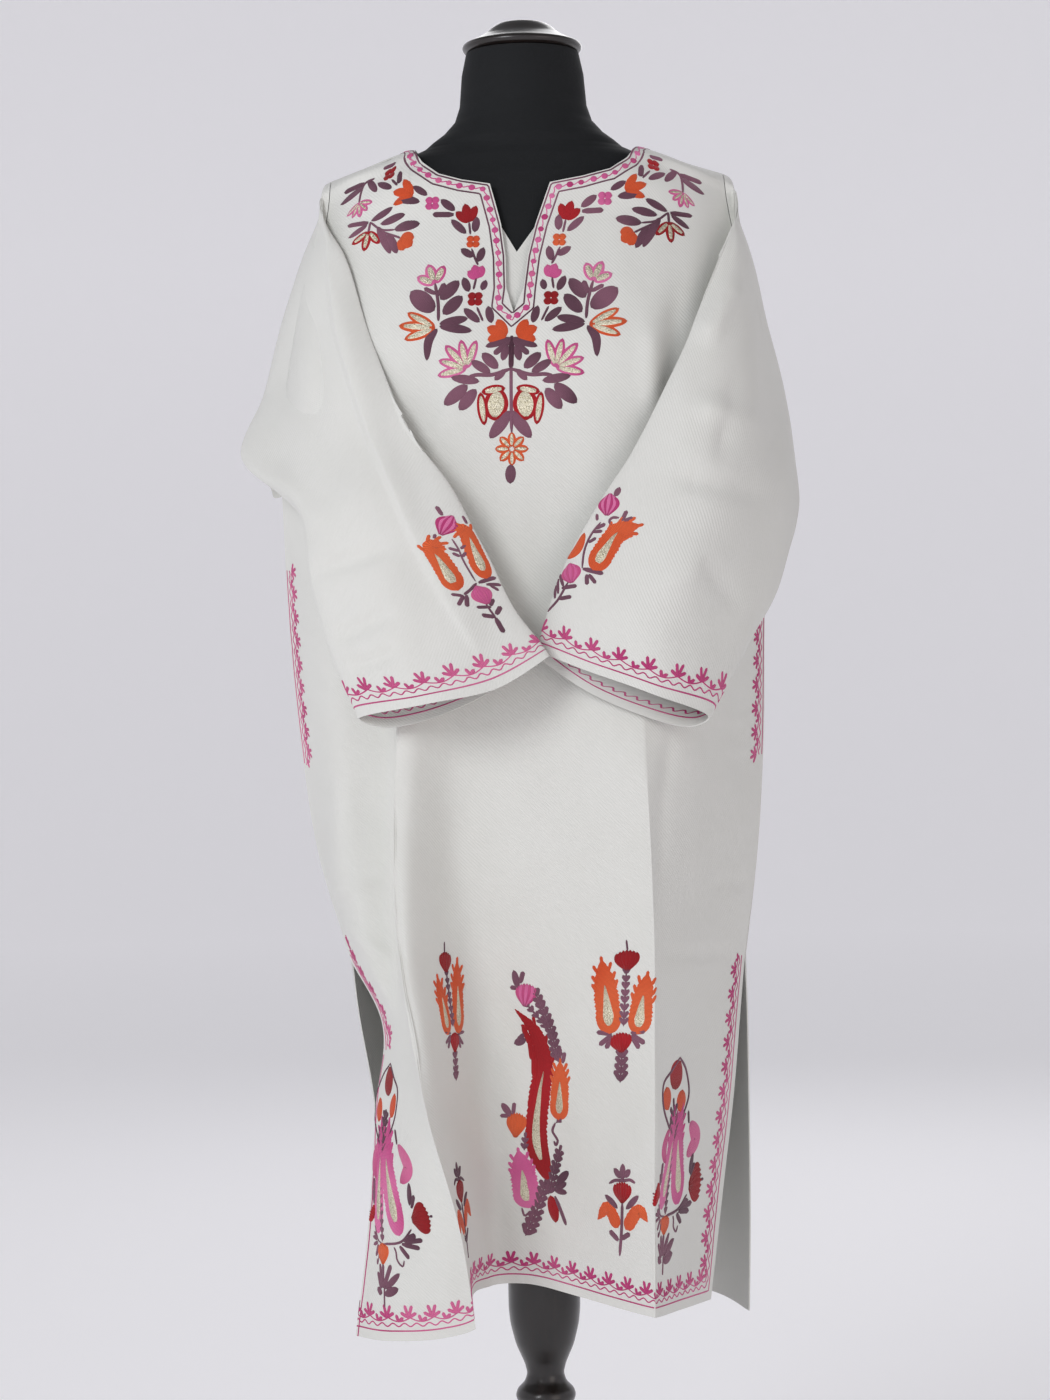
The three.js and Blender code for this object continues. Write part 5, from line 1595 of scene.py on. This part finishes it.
class PHERAN_OT_form(PieceOperator, bpy.types.Operator):
    """Make the covered torso of the dress form"""

    bl_idname = "pheran.form"
    bl_label = "Dress form"

    def execute(self, context):
        rings = np.array(TORSO_RINGS, float)
        last = len(rings) - 1
        at = np.linspace(0, last, 6 * last + 1)
        angles = np.linspace(0, 2 * math.pi, ROUND_STEPS, endpoint=False)
        z, half, front, back = (np.interp(at, range(last + 1), rings[:, k])[:, None] for k in range(4))
        depth = np.where(np.sin(angles) < 0, front, back)
        points = np.stack([half * np.cos(angles), depth * np.sin(angles), z + 0 * angles], -1)
        faces = [list(f) for f in grid_faces(len(at), ROUND_STEPS, closed=True)]
        bottom = (len(at) - 1) * ROUND_STEPS
        faces += [list(range(ROUND_STEPS)), list(range(bottom, bottom + ROUND_STEPS))[::-1]]
        jersey = kept_material("knitted cotton jersey", cotton_jersey, context.scene.pheran.jersey_colour)
        made = face_out(make_object("form_cover", points.reshape(-1, 3), faces, [jersey]))
        made.data.set_sharp_from_angle(angle=math.radians(50))
        place_piece(made, "jersey_cover", "form_torso")
        return {"FINISHED"}


class PHERAN_OT_stand(PieceOperator, bpy.types.Operator):
    """Turn the neck cap, the column and the base"""

    bl_idname = "pheran.stand"
    bl_label = "Cap, column and base"

    def execute(self, context):
        for node, profile, z in (
            ("neck_cap", CAP_PROFILE, CAP_BOTTOM_Z),
            ("pole", POLE_PROFILE, TORSO_BOTTOM_Z - COLUMN_GAP),
            ("base", BASE_PROFILE, 0),
        ):
            place_piece(turned_object(node + "_turned", profile, z, self.wood()), "lacquered_wood", node)
        return {"FINISHED"}


class PHERAN_OT_stage(bpy.types.Operator):
    """Set the floor, the lights and the camera"""

    bl_idname = "pheran.stage"
    bl_label = "Floor, lights and camera"
    bl_options = {"REGISTER", "UNDO"}

    def execute(self, context):
        scene = context.scene
        profile = [(0.001, 0), (FLOOR_REACH, 0)]
        for a in np.linspace(0.1, math.pi / 2, 16):
            profile.append((FLOOR_REACH + FLOOR_TURN * math.sin(a), FLOOR_TURN - FLOOR_TURN * math.cos(a)))
        profile.append((FLOOR_REACH + FLOOR_TURN, WALL_TOP))
        angles = np.linspace(0, 2 * math.pi, FLOOR_STEPS, endpoint=False)
        points = [(r * math.cos(a), r * math.sin(a), z) for r, z in profile for a in angles]
        faces = grid_faces(len(profile), FLOOR_STEPS, closed=True)
        floor = make_object("studio_floor", points, faces, [painted_floor(scene.pheran.floor_colour)])
        # Name, place in metres, width in metres, power in watts, colour.
        lights = (
            ("key_light", (-1.9, -2.9, 2.3), 1.4, 51, "#FAFCFF"),
            ("fill_light", (2.4, -3.0, 1.2), 2.2, 11, "#FFEFE2"),
            ("back_light", (0.6, 3.2, 2.8), 2.4, 26, "#FFFFFF"),
        )
        for name, place, size, power, colour in lights:
            lamp = bpy.data.lights.new(name, "AREA")
            lamp.shape, lamp.size, lamp.energy, lamp.color = "DISK", size, power, linear(colour)[:3]
            made = bpy.data.objects.new(name, lamp)
            made.location = place
            aim = Vector(LIGHTS_AIM) - Vector(place)
            made.rotation_euler = aim.to_track_quat("-Z", "Y").to_euler()
            made.visible_camera = False
            context.collection.objects.link(made)
        world = bpy.data.worlds.new("studio")
        world.use_nodes = True
        world.node_tree.nodes["Background"].inputs["Color"].default_value = linear("#F1F2F6")
        world.node_tree.nodes["Background"].inputs["Strength"].default_value = 0.25
        scene.world = world
        scene.view_settings.view_transform = "Standard"
        lens = bpy.data.cameras.new("front_view")
        lens.lens, lens.sensor_width = LENS, 36
        lens.shift_x = LENS_SHIFT
        camera = bpy.data.objects.new("front_view", lens)
        level = Matrix.Rotation(math.radians(90), 4, "X")
        rolled = level @ Matrix.Rotation(math.radians(-CAMERA_ROLL), 4, "Z")
        camera.matrix_world = Matrix.Translation(CAMERA_PLACE) @ rolled
        context.collection.objects.link(camera)
        scene.camera = camera
        return {"FINISHED"}


class PHERAN_PT_panel(bpy.types.Panel):
    """The pieces of the pheran, in the order in which they are made"""

    bl_idname = "PHERAN_PT_panel"
    bl_label = "Pheran"
    bl_space_type = "VIEW_3D"
    bl_region_type = "UI"
    bl_category = "Pheran"

    def draw(self, context):
        for key in PheranSettings.__annotations__:
            self.layout.prop(context.scene.pheran, key)
        for operator in PIECES:
            self.layout.operator(operator.bl_idname)


PIECES = (
    PHERAN_OT_stage, PHERAN_OT_form, PHERAN_OT_stand, PHERAN_OT_front, PHERAN_OT_back, PHERAN_OT_sleeves,
    PHERAN_OT_insert,
)
CLASSES = (PheranSettings, *PIECES, PHERAN_PT_panel)


def register():
    """Add the settings, the operators and the panel to Blender."""
    for made in CLASSES:
        bpy.utils.register_class(made)
    bpy.types.Scene.pheran = bpy.props.PointerProperty(type=PheranSettings)


def unregister():
    """Take them out again."""
    del bpy.types.Scene.pheran
    for made in reversed(CLASSES):
        bpy.utils.unregister_class(made)


def main():
    """Make every piece and the stage."""
    register()
    for operator in PIECES:
        group, name = operator.bl_idname.split(".")
        getattr(getattr(bpy.ops, group), name)()


if __name__ == "__main__":
    main()
